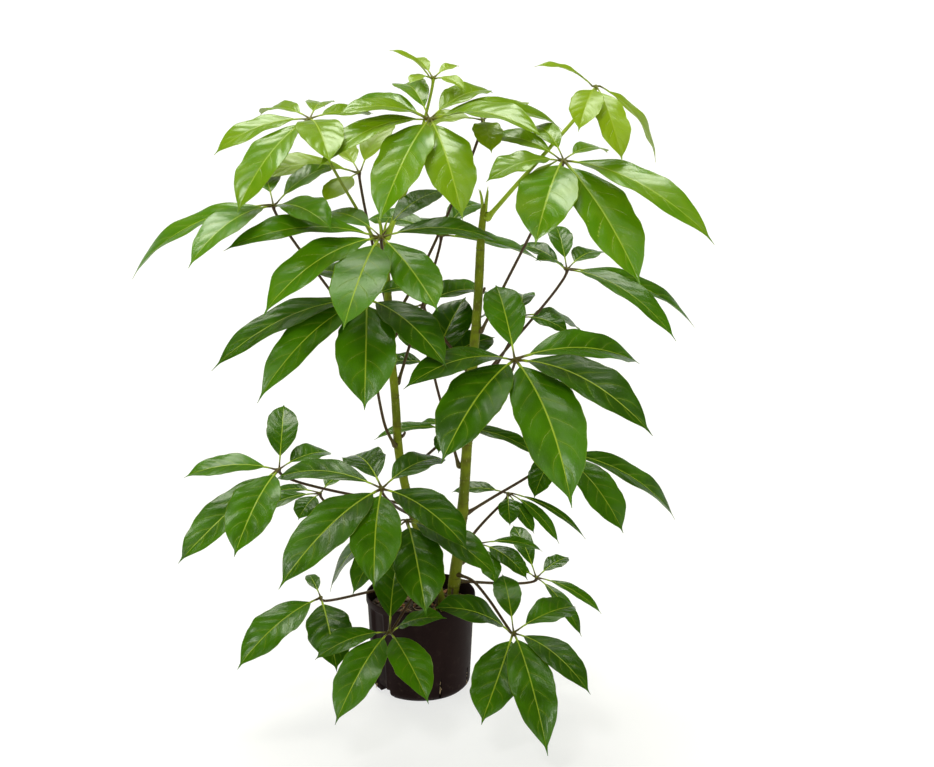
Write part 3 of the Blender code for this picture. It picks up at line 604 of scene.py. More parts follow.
def vein_masks(tree, along, across, tint):
    """How much of the midrib, a side vein, the paler band beside one and the margin is here.  The
    paler band is painted light: with the darker blade between the veins it stands in for the
    shading of the quilted blade.
    """
    reach = calc(tree, "ABSOLUTE", across)
    squared = calc(tree, "MULTIPLY", reach, reach)
    lean = calc(tree, "MULTIPLY", reach, scaled(tree, squared, VEIN_SWEEP, VEIN_LEAN))
    phase = share_of(tree, VEINS, calc(tree, "SUBTRACT", along, lean))
    other_half = calc(tree, "GREATER_THAN", across, 0.0)
    phase = scaled(tree, other_half, 0.5, phase)
    phase = scaled(tree, tint, 3.0, phase)
    wander = scaled(tree, cloud(tree, 40.0, 1.0), 0.10, -0.05)
    phase = calc(tree, "FRACT", calc(tree, "ADD", calc(tree, "ADD", phase, wander), 0.5))
    off_vein = calc(tree, "ABSOLUTE", calc(tree, "SUBTRACT", phase, 0.5))
    fade = step(tree, reach, 0.90, 0.35)
    vein = calc(tree, "MULTIPLY", step(tree, off_vein, 0.026, 0.007), fade)
    painted_quilt_shading = calc(tree, "MULTIPLY", step(tree, off_vein, 0.20, 0.03), fade)
    return (step(tree, reach, 0.040, 0.016), vein, painted_quilt_shading,
            step(tree, reach, 0.965, 0.985))


def leaf_material(name, dark, middle, light, under, through, roughness, glow_share, gloss):
    made, tree = new_material(name)
    along, across = attribute(tree, "along"), attribute(tree, "across")
    beneath, tint, age = (attribute(tree, key) for key in ("under", "tint", "age"))
    mottle = cloud(tree, 26.0, 4.0)
    patches = cloud(tree, 9.0, 2.0)
    fine = cloud(tree, 190.0, 3.0)

    # Age lightens the upper leaves and darkens the lower ones, and below it clears the veins more
    # on upper leaves: partly real age, partly painted light and shade.
    tone = calc(tree, "ADD", age, scaled(tree, mottle, 0.70, -0.35))
    tone = calc(tree, "ADD", tone, scaled(tree, tint, 0.30, -0.15))
    tone = calc(tree, "ADD", tone, scaled(tree, patches, 0.40, -0.20))
    low = blend(tree, step(tree, tone, 0.0, 0.5), dark, middle)
    colour = blend(tree, step(tree, tone, 0.45, 1.0), low, light)

    rib, vein, painted_quilt_shading, edge = vein_masks(tree, along, across, tint)
    pale = blend(tree, 0.55, light, VEIN_PALE)
    # Painted light beside the side veins, which leaves the blade between them darker as painted
    # shade of its quilting.
    colour = blend(tree, share_of(tree, 0.20, painted_quilt_shading), colour, light)
    clear = calc(tree, "MULTIPLY", vein, scaled(tree, age, 0.20, 0.34))
    colour = blend(tree, clear, colour, pale)
    colour = blend(tree, share_of(tree, 0.80, rib), colour, pale)
    colour = blend(tree, share_of(tree, 0.40, edge), colour, pale)
    place = object_place(tree)
    cells = node(tree, "TexVoronoi", {"Vector": place, "Scale": 330.0},
                 feature="DISTANCE_TO_EDGE")
    net = step(tree, cells.outputs["Distance"], 0.0, 0.12)
    colour = blend(tree, scaled(tree, net, -0.08, 0.08), colour, light)
    # Undersides and the colour of light let through grow paler and yellower on upper leaves:
    # partly real age, partly painted light for the glow of the top leaves.
    ripe_and_lit = step(tree, age, 0.25, 0.80)
    below = blend(tree, ripe_and_lit, middle, under)
    below = blend(tree, share_of(tree, 0.5, vein), below, pale)
    colour = blend(tree, beneath, colour, below)

    relief = scaled(tree, net, 0.10, share_of(tree, -0.5, vein))
    relief = scaled(tree, fine, 0.25, relief)
    bump = bumps(tree, 0.80, 0.0008, scaled(tree, mottle, 0.8, relief))
    rough = scaled(tree, patches, 0.20, roughness - 0.10)
    rough = scaled(tree, mottle, 0.14, calc(tree, "ADD", rough, -0.07))
    rough = scaled(tree, beneath, 0.20, rough)
    skin = node(tree, "BsdfPrincipled", {
        "Base Color": colour, "Roughness": rough, "Normal": bump,
        "Specular IOR Level": gloss, "Specular Tint": LEAF_SHEEN,
        "Coat Weight": 0.06, "Coat Roughness": 0.16})
    glow = blend(tree, ripe_and_lit, middle, through)
    glow = blend(tree, share_of(tree, 0.4, vein), glow, pale)
    light_through = node(tree, "BsdfTranslucent", {"Color": glow, "Normal": bump})
    both = node(tree, "MixShader", {0: glow_share, 1: skin.outputs[0],
                                    2: light_through.outputs[0]})
    finish_material(tree, both.outputs[0])
    return made


def stalk_material():
    made, tree = new_material("leaf_stalk")
    mottle = cloud(tree, 120.0, 3.0)
    share = calc(tree, "ADD", attribute(tree, "green"), scaled(tree, mottle, 0.30, -0.15))
    colour = blend(tree, step(tree, share, 0.0, 0.9), STALK_BROWN, STALK_GREEN)
    streaks = cloud(tree, 900.0, 2.0, stretch=(1.0, 1.0, 0.15))
    colour = blend(tree, share_of(tree, 0.20, streaks), colour, STALK_BROWN)
    finish_opaque(tree, colour, scaled(tree, mottle, 0.15, 0.36), 0.28,
                  bumps(tree, 0.4, 0.0002, streaks))
    return made


def bark_material():
    made, tree = new_material("green_bark")
    scar, age = attribute(tree, "scar"), attribute(tree, "age")
    mottle = cloud(tree, 60.0, 5.0)
    large = cloud(tree, 14.0, 3.0)
    colour = blend(tree, step(tree, large, 0.3, 0.7), BARK_DARK, BARK_LIGHT)
    stain = share_of(tree, 0.7, step(tree, mottle, 0.45, 0.72))
    colour = blend(tree, stain, colour, BARK_STAIN)
    colour = blend(tree, share_of(tree, 0.30, age), colour, BARK_OLD)
    place = object_place(tree)
    place = node(tree, "Mapping", {"Vector": place, "Scale": (1.0, 1.0, 0.38)}).outputs[0]
    spots = node(tree, "TexVoronoi", {"Vector": place, "Scale": 210.0})
    pore = step(tree, spots.outputs["Distance"], 0.24, 0.12)
    colour = blend(tree, share_of(tree, 0.45, pore), colour, BARK_PORE)
    colour = blend(tree, share_of(tree, 0.8, scar), colour, BARK_SCAR)
    grain = cloud(tree, 420.0, 4.0, stretch=(1.0, 1.0, 0.12))
    relief = scaled(tree, grain, 0.5, share_of(tree, 0.5, pore))
    relief = scaled(tree, mottle, 0.7, relief)
    finish_opaque(tree, colour, scaled(tree, mottle, 0.20, 0.46), 0.14,
                  bumps(tree, 0.6, 0.0005, relief))
    return made


def pot_material():
    made, tree = new_material("black_plastic")
    grain = cloud(tree, 1500.0, 2.0)
    flow = cloud(tree, 22.0, 3.0, stretch=(1.0, 1.0, 0.35))
    dust = cloud(tree, 60.0, 6.0, roughness=0.7)
    height = node(tree, "SeparateXYZ", {0: object_place(tree)}).outputs["Z"]
    colour = blend(tree, step(tree, flow, 0.3, 0.75), POT_DARK, POT_LIGHT)
    foot = step(tree, height, 0.05, 0.0)
    soiled = calc(tree, "MULTIPLY", step(tree, dust, 0.52, 0.72),
                  scaled(tree, foot, 0.5, 0.10))
    colour = blend(tree, soiled, colour, POT_DUST)
    finish_opaque(tree, colour, scaled(tree, dust, 0.20, 0.44), 0.05,
                  bumps(tree, 0.25, 0.0002, scaled(tree, flow, 1.5, grain)))
    return made


def soil_material():
    made, tree = new_material("substrate")
    tint, root = attribute(tree, "tint"), attribute(tree, "root")
    crumb = cloud(tree, 700.0, 5.0, roughness=0.65)
    grain = cloud(tree, 240.0, 4.0)
    colour = blend(tree, step(tree, tint, 0.15, 0.6), SOIL_DARK, SOIL_BARK)
    colour = blend(tree, step(tree, tint, 0.72, 0.96), colour, SOIL_CLAY)
    colour = blend(tree, share_of(tree, 0.5, grain), colour, SOIL_SHADE)
    colour = blend(tree, root, colour, blend(tree, grain, ROOT_DARK, ROOT_LIGHT))
    finish_opaque(tree, colour, scaled(tree, grain, 0.25, 0.65), 0.3,
                  bumps(tree, 0.8, 0.0006, crumb))
    return made


# ---- leaves
# A grown leaf's age rises with its height: partly real age, partly painted light that makes the
# upper leaves lighter and the lower ones darker as painted shade.
OLD_AGE_AND_SHADE = 0.24                # of the grown leaves low on the plant
FRESHENING_AND_TOP_LIGHT = 0.60             # what the uppermost ones have on top of that
FRESH_FROM = 0.66             # share of the plant's height at which it sets in
FRESH_OVER = 0.24
YOUNG_FROM = 0.85             # from this age on a leaf has the young leaves' material
FRESH_LOOK_FROM = 0.5         # and from this one the glossier kind of the grown leaves'
BARE_TRUNK = 0.73             # petioles are brown up to this height of their feet in metres
GREENING = 0.06               # and green at this much above it


def leaf_age_and_light(leaf):
    """0 on the oldest, lowest leaves, 1 on the youngest.  The rise with height is partly real age
    and partly painted light: the upper leaves come out lighter as if more strongly lit, and the
    lower ones darker as if shaded.
    """
    if leaf["node"] in YOUNG:
        return 1.0
    if leaf["node"] in PAINTED_BACKLIGHT_AGES:
        return PAINTED_BACKLIGHT_AGES[leaf["node"]]
    low, high = CAD_BOX[0].z, CAD_BOX[1].z
    height = (leaf["hub"][2] - low) / (high - low)
    return OLD_AGE_AND_SHADE + FRESHENING_AND_TOP_LIGHT * float(smooth_step((height - FRESH_FROM) / FRESH_OVER))


def boxes_meet(one, two):
    return bool((one[0] <= two[1]).all() and (two[0] <= one[1]).all())


def settle_blades(leaves):
    """How long and how boldly curved each blade may be and still stay clear of the others."""
    columns = np.array([-1.0, -0.6, -0.25, 0.0, 0.25, 0.6, 1.0])
    settled = []
    for leaf in leaves:
        path = curve_through(np.array([leaf["hub"], *leaf["petiole"]])[:-1], 24)
        points, faces = tube(path, PETIOLE_RADIUS, 6)
        corners = np.array(points)
        settled.append((leaf["node"], (corners.min(0), corners.max(0)),
                        BVHTree.FromPolygons([Vector(p) for p in points], faces)))
    for leaf in leaves:
        for leaflet in leaf["leaflets"]:
            for manner in GIVE_WAYS:
                give_way(leaflet, manner)
                points, faces = blade_sheet(leaflet, 18, columns)
                corners = np.array(points)
                box = (corners.min(0), corners.max(0))
                tree = BVHTree.FromPolygons(points, faces)
                if not any(boxes_meet(box, other) and tree.overlap(found)
                           for _, other, found in settled):
                    break
            settled.append((leaf["node"], box, tree))


def make_leaf(leaf, finishes):
    node_name = leaf["node"]
    age = leaf_age_and_light(leaf)
    shape = Shape(("along", "across", "under", "tint", "age", "green"))
    for leaflet in leaf["leaflets"]:
        add_blade(shape, leaflet, age)
        add_midrib(shape, leaflet, leaf["hub"], age)
    foot_height = leaf["petiole"][-1][2]
    green = 0.06 + 0.85 * float(smooth_step((foot_height - BARE_TRUNK) / GREENING))
    add_petiole(shape, leaf, age, green)
    # The grown leaves whose age is raised as painted backlight take the young leaves' paler
    # material here, as painted light.
    kind = "young" if age > YOUNG_FROM else "fresh" if age > FRESH_LOOK_FROM else "grown"
    settle_piece(shape.make(node_name + "_grown", [finishes[kind], finishes["stalk"]]), node_name)


# ---- trunks
TRUNK_ROWS = 620
TRUNK_SIDES = 36
TIP_NARROWING = 0.22
TIP_LENGTH = 0.09
TIP_SPIKES = 4
TIP_ROOT = 0.012              # a spike starts this far down in the trunk
AERIAL_ROOTS = 4
LEAF_STUBS = 3
FOOT_REACH = 0.020            # a petiole's foot is no further than this from its trunk's axis
SCAR_START = 0.05
SCAR_GAPS = (0.026, 0.062)
SCAR_RISE, SCAR_FALL = 0.00045, 0.00030
SCAR_WIDTH, SCAR_LINE = 0.0016, 0.0009
BARK_SHARE = 0.985            # of the CAD trunk's radius, to leave room for scars
SWELLING = 0.0011             # of the trunk at a petiole's foot
ROUGHNESS = 0.00022


def read_trunk(name):
    """Centre and radius of a CAD trunk's rings, from its foot to its tip."""
    mesh = frame["nodes"][name].data
    levels = {}
    for vert in mesh.vertices:
        levels.setdefault(round(vert.co.z, 4), set()).add(tuple(round(x, 6) for x in vert.co))
    rings = []
    for height in sorted(levels):
        corners = np.array(sorted(levels[height]))
        centre = corners.mean(0)
        rings.append([*centre, np.linalg.norm(corners - centre, axis=1).mean()])
    return np.array(rings)


def petiole_feet(body, leaves):
    """Place and bearing of every petiole's foot on this trunk."""
    feet = []
    for leaf in leaves:
        foot = leaf["petiole"][-1]
        nearest = body[np.abs(body[:, 2] - foot[2]).argmin()]
        if np.hypot(*(nearest[:2] - foot[:2])) < FOOT_REACH:
            feet.append((foot, math.atan2(*(foot - nearest[:3])[1::-1])))
    return feet


def trunk_surface(body, feet, rng):
    """Radii all over a trunk, with ring scars and swellings, and where its bark is dark."""
    scars = []
    height = body[0, 2] + SCAR_START
    while height < body[-1, 2] - 0.01:
        scars.append((height, rng.uniform(-math.pi, math.pi)))
        height += rng.uniform(*SCAR_GAPS)
    angles = np.linspace(0, TURN, TRUNK_SIDES, endpoint=False)
    z = body[:, 2][:, None]
    slim = 1 - TIP_NARROWING * smooth_step(1 - (body[-1, 2] - z) / TIP_LENGTH)
    radius = np.repeat(body[:, 3][:, None], TRUNK_SIDES, axis=1) * BARK_SHARE * slim
    dark = np.zeros_like(radius)
    for height, bearing in scars:
        wobble = 0.0011 * np.cos(angles - bearing) + 0.0004 * np.cos(3 * angles + bearing)
        off = z - height - wobble[None, :]
        facing = 0.12 + 0.88 * smooth_step(0.35 + 0.65 * np.cos(angles - bearing))[None, :]
        radius += SCAR_RISE * facing * np.exp(-(off / SCAR_WIDTH) ** 2)
        radius -= SCAR_FALL * facing * np.exp(-((off + 0.0024) / SCAR_LINE) ** 2)
        dark = np.maximum(dark, 0.85 * facing * np.exp(-((off + 0.0020) / SCAR_LINE) ** 2))
    for foot, bearing in feet:
        near = np.exp(-((angles - bearing + math.pi) % TURN - math.pi) ** 2 / 0.7)[None, :]
        off = z - foot[2]
        radius += SWELLING * near * np.exp(-(off / 0.007) ** 2)
        dark = np.maximum(dark, 0.9 * near * np.exp(-((off + 0.0075) / 0.0012) ** 2))
    for i, row in enumerate(body):
        for j, angle in enumerate(angles):
            spot = Vector((math.cos(angle) * 1.2, math.sin(angle) * 1.2, row[2] * 60))
            radius[i, j] += ROUGHNESS * noise.noise(spot)
    points = np.stack([body[:, 0][:, None] + radius * np.cos(angles),
                       body[:, 1][:, None] + radius * np.sin(angles),
                       np.repeat(z, TRUNK_SIDES, axis=1)], axis=-1)
    return points.reshape(-1, 3), dark.reshape(-1)


def add_strand(shape, path, count, thick, thin, green):
    points, faces = tube(curve_through(path, count), np.linspace(thick, thin, count), 10)
    shape.add(points, faces, 1, green=green, tint=0.4)


def outward(turn):
    return np.array([math.cos(turn), math.sin(turn), 0.0])


def raised(height):
    return np.array([0, 0, height])


def add_growing_tip(shape, top, span, rng):
    """The pointed bud scales over the last whole ring of a trunk."""
    centre, radius = top[:3], top[3]
    for k in range(TIP_SPIKES):
        out = outward(TURN * (k + 0.5) / TIP_SPIKES + rng.uniform(-0.3, 0.3))
        rise = span * rng.uniform(0.7, 1.1)
        base = centre + out * radius * 0.30 - raised(TIP_ROOT)
        middle = centre + out * radius * 0.85 + raised(rise * 0.45)
        end = centre + out * radius * rng.uniform(1.2, 2.0) + raised(rise)
        add_strand(shape, [base, middle, end], 14, 0.0034, 0.0004, 0.8)


def add_leaf_stubs(shape, body, rng):
    """The ends of old petioles that broke off."""
    for _ in range(LEAF_STUBS):
        ring = body[int(len(body) * rng.uniform(0.25, 0.85))]
        out = outward(rng.uniform(-math.pi, math.pi))
        base = ring[:3] + out * ring[3] * 0.7
        add_strand(shape, [base, base + out * 0.0045 + raised(0.003),
                           base + out * 0.0075 + raised(0.008)], 9, 0.0034, 0.0020, 0.10)


def add_aerial_roots(shape, body, rng):
    for k in range(AERIAL_ROOTS):
        out = outward(TURN * k / AERIAL_ROOTS + rng.uniform(-0.5, 0.5))
        leave = SOIL_HIGH.z + rng.uniform(0.010, 0.030)
        origin = body[int(np.abs(body[:, 2] - leave).argmin()), :3]
        reach = rng.uniform(0.014, 0.024)
        middle = origin + out * reach * 0.75
        middle[2] = (leave + SOIL_HIGH.z) / 2 + 0.002
        end = origin + out * reach
        end[2] = SOIL_HIGH.z - 0.010
        add_strand(shape, [origin + out * 0.004, middle, end], 20, 0.0022, 0.0013, 0.12)


def make_trunk(name, leaves, finish, stalk):
    rings = read_trunk(name)
    body = curve_through(rings[:-3], TRUNK_ROWS)
    rng = random.Random(name)
    points, dark = trunk_surface(body, petiole_feet(body, leaves), rng)
    low, high = body[0, 2], body[-1, 2]
    age = smooth_step((0.45 - (body[:, 2] - low) / (high - low)) / 0.5)
    shape = Shape(("scar", "age", "green", "tint", "along"))
    shape.add(points, skin_faces(len(body), TRUNK_SIDES), 0, scar=dark,
              age=np.repeat(age, TRUNK_SIDES))
    add_growing_tip(shape, body[-1], rings[-1, 2] - high, rng)
    add_leaf_stubs(shape, body, rng)
    add_aerial_roots(shape, body, rng)
    settle_piece(shape.make(name + "_bark", [finish, stalk]), name)


# ---- pot, in metres and degrees, its bearings counter-clockwise from the plant's right
POT_LOW, POT_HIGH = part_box("pot")
POT_HEIGHT = POT_HIGH.z
RIM_RADIUS = (POT_HIGH.x - POT_LOW.x) / 2
FOOT_RADIUS = 0.083
WALL = 0.0022
CORNER = 0.013
FOOT_WIDTH = 0.012
CHANNEL = 0.006
MIDDLE_RADIUS = 0.038
LIP_HEIGHT = 0.012
LIP_DEPTH = 0.0016
GROOVE_BEARING = -146
GROOVE_HALF_ANGLE = 12.5
GROOVE_EDGE = 5.0
GROOVE_DEPTH = 0.0045
NOTCH_BEARING = -141
NOTCH_WIDTH = 0.034
NOTCH_HEIGHT = 0.015
NOTCH_DEPTH = 0.022
SLOT_BEARINGS = [-67.5 + 45 * k for k in range(7)]
SLOT_WIDTH = 0.004
SLOT_BOTTOM = 0.004
SLOT_TOP = 0.040
SLOT_REACH = 0.016
POT_SIDES = 288
HUB_HOLE = 0.0012             # where the turned rows end, round the pot's axis
# How far each row of the rounded rim lies in from its radius and down from its top
RIM_ROUND = ((0.0001, 0.0020), (0.0003, 0.0008), (0.0009, 0.0001), (0.0014, 0),
             (0.0020, 0.0003), (0.0024, 0.0012))
SHARP_ANGLE = 32


def wall_radius(z):
    return FOOT_RADIUS + (RIM_RADIUS - LIP_DEPTH - FOOT_RADIUS) * z / POT_HEIGHT


def groove(degrees, z):
    """How far the moulded groove pushes the wall in, with a slight ridge on its right edge."""
    off = (degrees - GROOVE_BEARING + 180) % 360 - 180
    across = smooth_step((GROOVE_HALF_ANGLE - np.abs(off)) / GROOVE_EDGE)
    ridge = np.exp(-((off - GROOVE_HALF_ANGLE - 0.6) / 1.3) ** 2)
    fade = smooth_step((POT_HEIGHT - LIP_HEIGHT - z) / 0.006) * smooth_step(z / 0.006)
    return (GROOVE_DEPTH * across - 0.0007 * ridge) * fade


def pot_profile():
    """Radius, height and the groove's share, from the middle of the base round to the inside."""
    foot_out = FOOT_RADIUS - CORNER * 0.55
    foot_in = foot_out - FOOT_WIDTH
    middle, lip = MIDDLE_RADIUS, POT_HEIGHT - LIP_HEIGHT
    rows = [(HUB_HOLE, 0.0, 0), (middle - 0.0005, 0.0, 0), (middle + 0.0004, 0.0006, 0),
            (middle + 0.002, CHANNEL - 0.0006, 0), (middle + 0.0028, CHANNEL, 0),
            (foot_in - 0.0028, CHANNEL, 0), (foot_in - 0.002, CHANNEL - 0.0006, 0),
            (foot_in - 0.0004, 0.0006, 0), (foot_in + 0.0005, 0.0, 0), (foot_out, 0.0, 0)]
    for turn in np.radians(np.arange(9, 91, 9)):
        radius = wall_radius(CORNER) - CORNER * (1 - math.sin(turn))
        rows.append((radius, CORNER * (1 - math.cos(turn)), math.sin(turn)))
    rows += [(wall_radius(z), z, 1) for z in np.arange(0.018, lip - 0.002, 0.004)]
    rows += [(wall_radius(lip) - 0.0003, lip - 0.0012, 1), (wall_radius(lip) - 0.0001, lip, 0.5),
             (wall_radius(lip) + 0.0006, lip + 0.0005, 0), (RIM_RADIUS - 0.0002, lip + 0.0009, 0),
             (RIM_RADIUS, lip + 0.0016, 0)]
    rows += [(RIM_RADIUS - inset, POT_HEIGHT - drop, 0) for inset, drop in RIM_ROUND]
    rows += [(wall_radius(z) - WALL, z, 1) for z in np.arange(lip - 0.002, 0.018, -0.004)]
    rows += [(wall_radius(CORNER) - WALL, CORNER + 0.002, 1),
             (FOOT_RADIUS - CORNER * 0.8, CHANNEL + WALL, 0), (middle, CHANNEL + WALL, 0),
             (middle - 0.002, WALL, 0), (HUB_HOLE, WALL, 0)]
    return rows


def cutter(name, size, centre, bearing, target):
    bm = bmesh.new()
    bmesh.ops.create_cube(bm, size=1.0)
    bmesh.ops.scale(bm, vec=size, verts=bm.verts)
    box = add_object(name, mesh_from(bm, name))
    box.location = centre
    box.rotation_euler.z = math.radians(bearing)
    cut = target.modifiers.new(name, "BOOLEAN")
    cut.operation = "DIFFERENCE"
    cut.solver = "EXACT"
    cut.object = box
    return box


def around(radius, degrees, z):
    angle = math.radians(degrees)
    return (radius * math.cos(angle), radius * math.sin(angle), z)


def apply_modifiers(piece):
    """Keeps the evaluated shape as the piece's own mesh."""
    evaluated = piece.evaluated_get(bpy.context.evaluated_depsgraph_get())
    mesh = bpy.data.meshes.new_from_object(evaluated)
    piece.modifiers.clear()
    piece.data = mesh


def make_pot(finish):
    profile = np.array(pot_profile())
    degrees = np.arange(POT_SIDES) * 360 / POT_SIDES
    push = groove(degrees[None, :], profile[:, 1:2]) * profile[:, 2:3]
    radius = profile[:, 0:1] - push
    angles = np.radians(degrees)[None, :]
    points = np.stack([radius * np.cos(angles), radius * np.sin(angles),
                       np.repeat(profile[:, 1:2], POT_SIDES, axis=1)], axis=-1)
    shape = Shape(())
    shape.add(points.reshape(-1, 3), skin_faces(len(profile), POT_SIDES), 0)
    piece = shape.make("pot_moulded", [finish])
    cutters = [cutter("notch_cutter", (2 * NOTCH_DEPTH, NOTCH_WIDTH, NOTCH_HEIGHT + 0.010),
                      around(FOOT_RADIUS, NOTCH_BEARING, (NOTCH_HEIGHT - 0.010) / 2),
                      NOTCH_BEARING, piece)]
    for number, bearing in enumerate(SLOT_BEARINGS):
        middle = around(FOOT_RADIUS, bearing, (SLOT_BOTTOM + SLOT_TOP) / 2)
        size = (SLOT_REACH, SLOT_WIDTH, SLOT_TOP - SLOT_BOTTOM)
        cutters.append(cutter(f"slot_cutter_{number}", size, middle, bearing, piece))
    bpy.context.view_layer.update()
    apply_modifiers(piece)
    for box in cutters:
        bpy.data.objects.remove(box)
    piece.data.shade_smooth()
    piece.data.set_sharp_from_angle(angle=math.radians(SHARP_ANGLE))
    settle_piece(piece, "pot")


# ---- substrate
SOIL_GAP = 0.0008
SOIL_SIDES = 96
SOIL_ROWS = 26                # across the top, from the wall to the middle
CHIPS = 900
FINE_ROOTS = 26
ROOTS_START, ROOTS_REACH = 0.072, 0.078
ROOT_STEP = 0.0035
SLOT_ROOTS = 5                # root ends that show in each drain slot
SOIL_TOP = SOIL_HIGH.z - 0.007
SOIL_EDGE = wall_radius(SOIL_TOP) - WALL - SOIL_GAP


def soil_height(x, y):
    return SOIL_HIGH.z - 0.0065 + 0.0045 * noise.noise(Vector((x * 28, y * 28, 0.3)))


def add_soil_body(shape):
    floor = CHANNEL + WALL + SOIL_GAP
    profile = [(0.002, SOIL_LOW.z, 0), (MIDDLE_RADIUS - 0.004, SOIL_LOW.z, 0),
               (MIDDLE_RADIUS - 0.001, floor, 0), (FOOT_RADIUS - CORNER * 0.8 - 0.004, floor, 0)]
    profile += [(wall_radius(z) - WALL - SOIL_GAP, z, 1)
                for z in np.linspace(CORNER + 0.007, SOIL_TOP, 12)]
    bearings = [360 * i / SOIL_SIDES for i in range(SOIL_SIDES)]
    points = [around(radius - share * float(groove(bearing, z)), bearing, z)
              for radius, z, share in profile for bearing in bearings]
    for share in np.linspace(0.97, 0.02, SOIL_ROWS):
        for bearing in bearings:
            inside = (SOIL_EDGE - float(groove(bearing, SOIL_TOP))) * share
            x, y, _ = around(inside, bearing, 0)
            points.append((x, y, soil_height(x, y)))
    shape.add(points, skin_faces(len(profile) + SOIL_ROWS, SOIL_SIDES), 0, tint=0.25)


def add_chips(shape, rng):
    """Bark chips and clay granules, each a squashed and dented ball."""
    reach = SOIL_EDGE - 0.004
    for _ in range(CHIPS):
        angle, radius = rng.uniform(0, TURN), reach * math.sqrt(rng.random())
        x, y = radius * math.cos(angle), radius * math.sin(angle)
        if radius > reach - float(groove(math.degrees(angle), SOIL_TOP)):
            continue
        bm = bmesh.new()
        bmesh.ops.create_icosphere(bm, subdivisions=2, radius=1.0)
        size = 0.0016 + 0.0034 * rng.random() ** 2
        stretch = Vector((rng.uniform(0.7, 1.5), rng.uniform(0.6, 1.0), rng.uniform(0.35, 0.8)))
        turn = Vector((rng.uniform(-0.5, 0.5), rng.uniform(-0.5, 0.5), rng.uniform(0, 6.3)))
        seed = Vector([rng.uniform(0, 50) for _ in range(3)])
        rotation = Euler(turn).to_matrix()
        centre = Vector((x, y, soil_height(x, y) + size * 0.25))
        points = []
        for vert in bm.verts:
            dent = 1 + 0.35 * noise.noise(vert.co * 1.6 + seed)
            points.append(centre + rotation @ (vert.co * stretch * dent) * size)
        faces = [tuple(v.index for v in f.verts) for f in bm.faces]
        bm.free()
        shape.add(points, faces, 0, tint=rng.random() ** 0.8)


def add_fine_roots(shape, rng):
    """Thin roots that wander over the substrate."""
    for _ in range(FINE_ROOTS):
        angle, radius = rng.uniform(0, TURN), ROOTS_START * math.sqrt(rng.random())
        x, y = radius * math.cos(angle), radius * math.sin(angle)
        heading = rng.uniform(0, TURN)
        path = []
        for _ in range(rng.randint(8, 16)):
            path.append((x, y, soil_height(x, y) + 0.0018))
            heading += rng.uniform(-0.5, 0.5)
            x += ROOT_STEP * math.cos(heading)
            y += ROOT_STEP * math.sin(heading)
            if math.hypot(x, y) > ROOTS_REACH:
                break
        if len(path) < 5:
            continue
        path = curve_through(path, 3 * len(path))
        points, faces = tube(path, np.linspace(0.0009, 0.0004, len(path)), 6)
        shape.add(points, faces, 0, tint=0.8, root=0.55)


def add_slot_roots(shape, rng):
    for bearing in SLOT_BEARINGS:
        for _ in range(SLOT_ROOTS):
            z = rng.uniform(SLOT_BOTTOM + 0.002, SLOT_TOP - 0.004)
            wall = wall_radius(z)
            inner = around(wall - WALL - 0.003, bearing + rng.uniform(-0.8, 0.8), z)
            outer = around(wall + rng.uniform(-0.001, 0.0008), bearing + rng.uniform(-1.0, 1.0),
                           z - 0.002)
            middle = around(wall - WALL, bearing + rng.uniform(-0.8, 0.8), z + 0.002)
            path = curve_through([inner, middle, outer], 9)
            points, faces = tube(path, np.linspace(0.0007, 0.0004, 9), 6)
            shape.add(points, faces, 0, tint=0.8, root=0.95)


def make_substrate(finish):
    rng = random.Random("substrate")
    shape = Shape(("tint", "root"))
    add_soil_body(shape)
    add_chips(shape, rng)
    add_fine_roots(shape, rng)
    add_slot_roots(shape, rng)
    settle_piece(shape.make("substrate_granules", [finish]), "substrate")


# ---- stage
FLOOR_RADIUS = 80.0
FLOOR_COLOUR, FLOOR_GLOW = (0.28, 0.28, 0.28, 1.0), 0.72
# Name, strength, width in degrees and the direction that it shines from
LAMPS = (("soft_box", 3.4, 34, (-0.12, 0.36, 1.0)),
         ("front_fill", 0.70, 50, (0.15, -0.9, 0.75)))
LIGHT_COLOUR = (1.0, 0.99, 0.90)
PANEL_PLACE = (-0.50, -1.15, 1.80)
PANEL_AIM = (0.0, 0.0, 0.95)
PANEL_SIZE = 0.38
PANEL_WATTS = 10.0
HORIZON_COLOUR, ZENITH_COLOUR = (1.0, 1.0, 1.0), (0.22, 0.22, 0.09)
HORIZON_TOP, ZENITH_EDGE = 0.20, 0.40     # rise of a direction's unit vector


def add_floor():
    bm = bmesh.new()
    bmesh.ops.create_circle(bm, cap_ends=True, segments=64, radius=FLOOR_RADIUS)
    floor = add_object("floor", mesh_from(bm, "floor"))
    made, tree = new_material("pale_floor")
    skin = node(tree, "BsdfPrincipled", {
        "Base Color": FLOOR_COLOUR, "Roughness": 0.8, "Specular IOR Level": 0.1,
        "Emission Color": (1.0, 1.0, 1.0, 1.0), "Emission Strength": FLOOR_GLOW})
    finish_material(tree, skin.outputs[0])
    floor.data.materials.append(made)


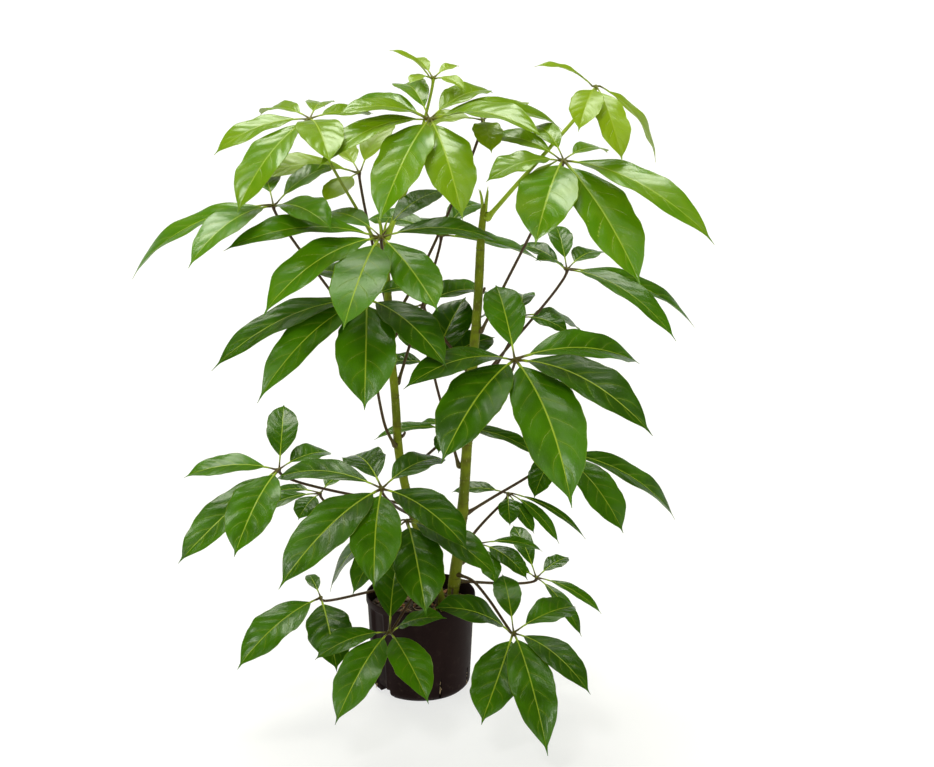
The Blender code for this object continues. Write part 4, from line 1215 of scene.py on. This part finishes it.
def add_sky():
    world = bpy.data.worlds.new("studio")
    bpy.context.scene.world = world
    world.use_nodes = True
    tree = world.node_tree
    direction = node(tree, "TexCoord").outputs["Generated"]
    rise = node(tree, "SeparateXYZ", {0: direction}).outputs["Z"]
    share = step(tree, rise, HORIZON_TOP, ZENITH_EDGE)
    colour = blend(tree, share, HORIZON_COLOUR, ZENITH_COLOUR)
    tree.links.new(colour, tree.nodes["Background"].inputs["Color"])


def add_lamp(lamp, direction):
    """Adds a lamp that shines from the given direction."""
    made = add_object(lamp.name, lamp)
    made.rotation_euler = Vector(direction).to_track_quat("Z", "Y").to_euler()
    return made


def add_lamps():
    for name, strength, width, direction in LAMPS:
        lamp = bpy.data.lights.new(name, "SUN")
        lamp.energy = strength
        lamp.color = LIGHT_COLOUR
        lamp.angle = math.radians(width)
        add_lamp(lamp, direction)
    panel = bpy.data.lights.new("front_panel", "AREA")
    panel.size = PANEL_SIZE
    panel.energy = PANEL_WATTS
    made = add_lamp(panel, Vector(PANEL_PLACE) - Vector(PANEL_AIM))
    made.location = PANEL_PLACE


def add_camera():
    lens = bpy.data.cameras.new("camera")
    lens.lens = CAMERA_LENS
    lens.clip_end = 300.0
    camera = add_object("camera", lens)
    camera.location = CAMERA_PLACE
    camera.rotation_euler = (math.radians(90 - CAMERA_PITCH), 0.0, -math.radians(CAMERA_YAW))
    bpy.context.scene.camera = camera


def make_stage():
    add_floor()
    add_sky()
    add_lamps()
    add_camera()
    bpy.context.scene.view_settings.view_transform = "Standard"


def main():
    make_stage()
    leaves = [read_leaf(name) for name in LEAF_NODES]
    for leaf in leaves:
        rng = random.Random(leaf["node"])
        for leaflet in leaf["leaflets"]:
            settle_form(leaflet, rng)
    settle_blades(leaves)
    finishes = {"grown": leaf_material("glossy_leaf", **GROWN_LEAF, gloss=GROWN_GLOSS),
                "fresh": leaf_material("fresh_leaf", **GROWN_LEAF, gloss=FRESH_GLOSS),
                "young": leaf_material("young_leaf", **YOUNG_LEAF, gloss=YOUNG_GLOSS),
                "stalk": stalk_material()}
    for leaf in leaves:
        make_leaf(leaf, finishes)
    bark = bark_material()
    for name in ("trunk_left", "trunk_right"):
        make_trunk(name, leaves, bark, finishes["stalk"])
    make_pot(pot_material())
    make_substrate(soil_material())


main()
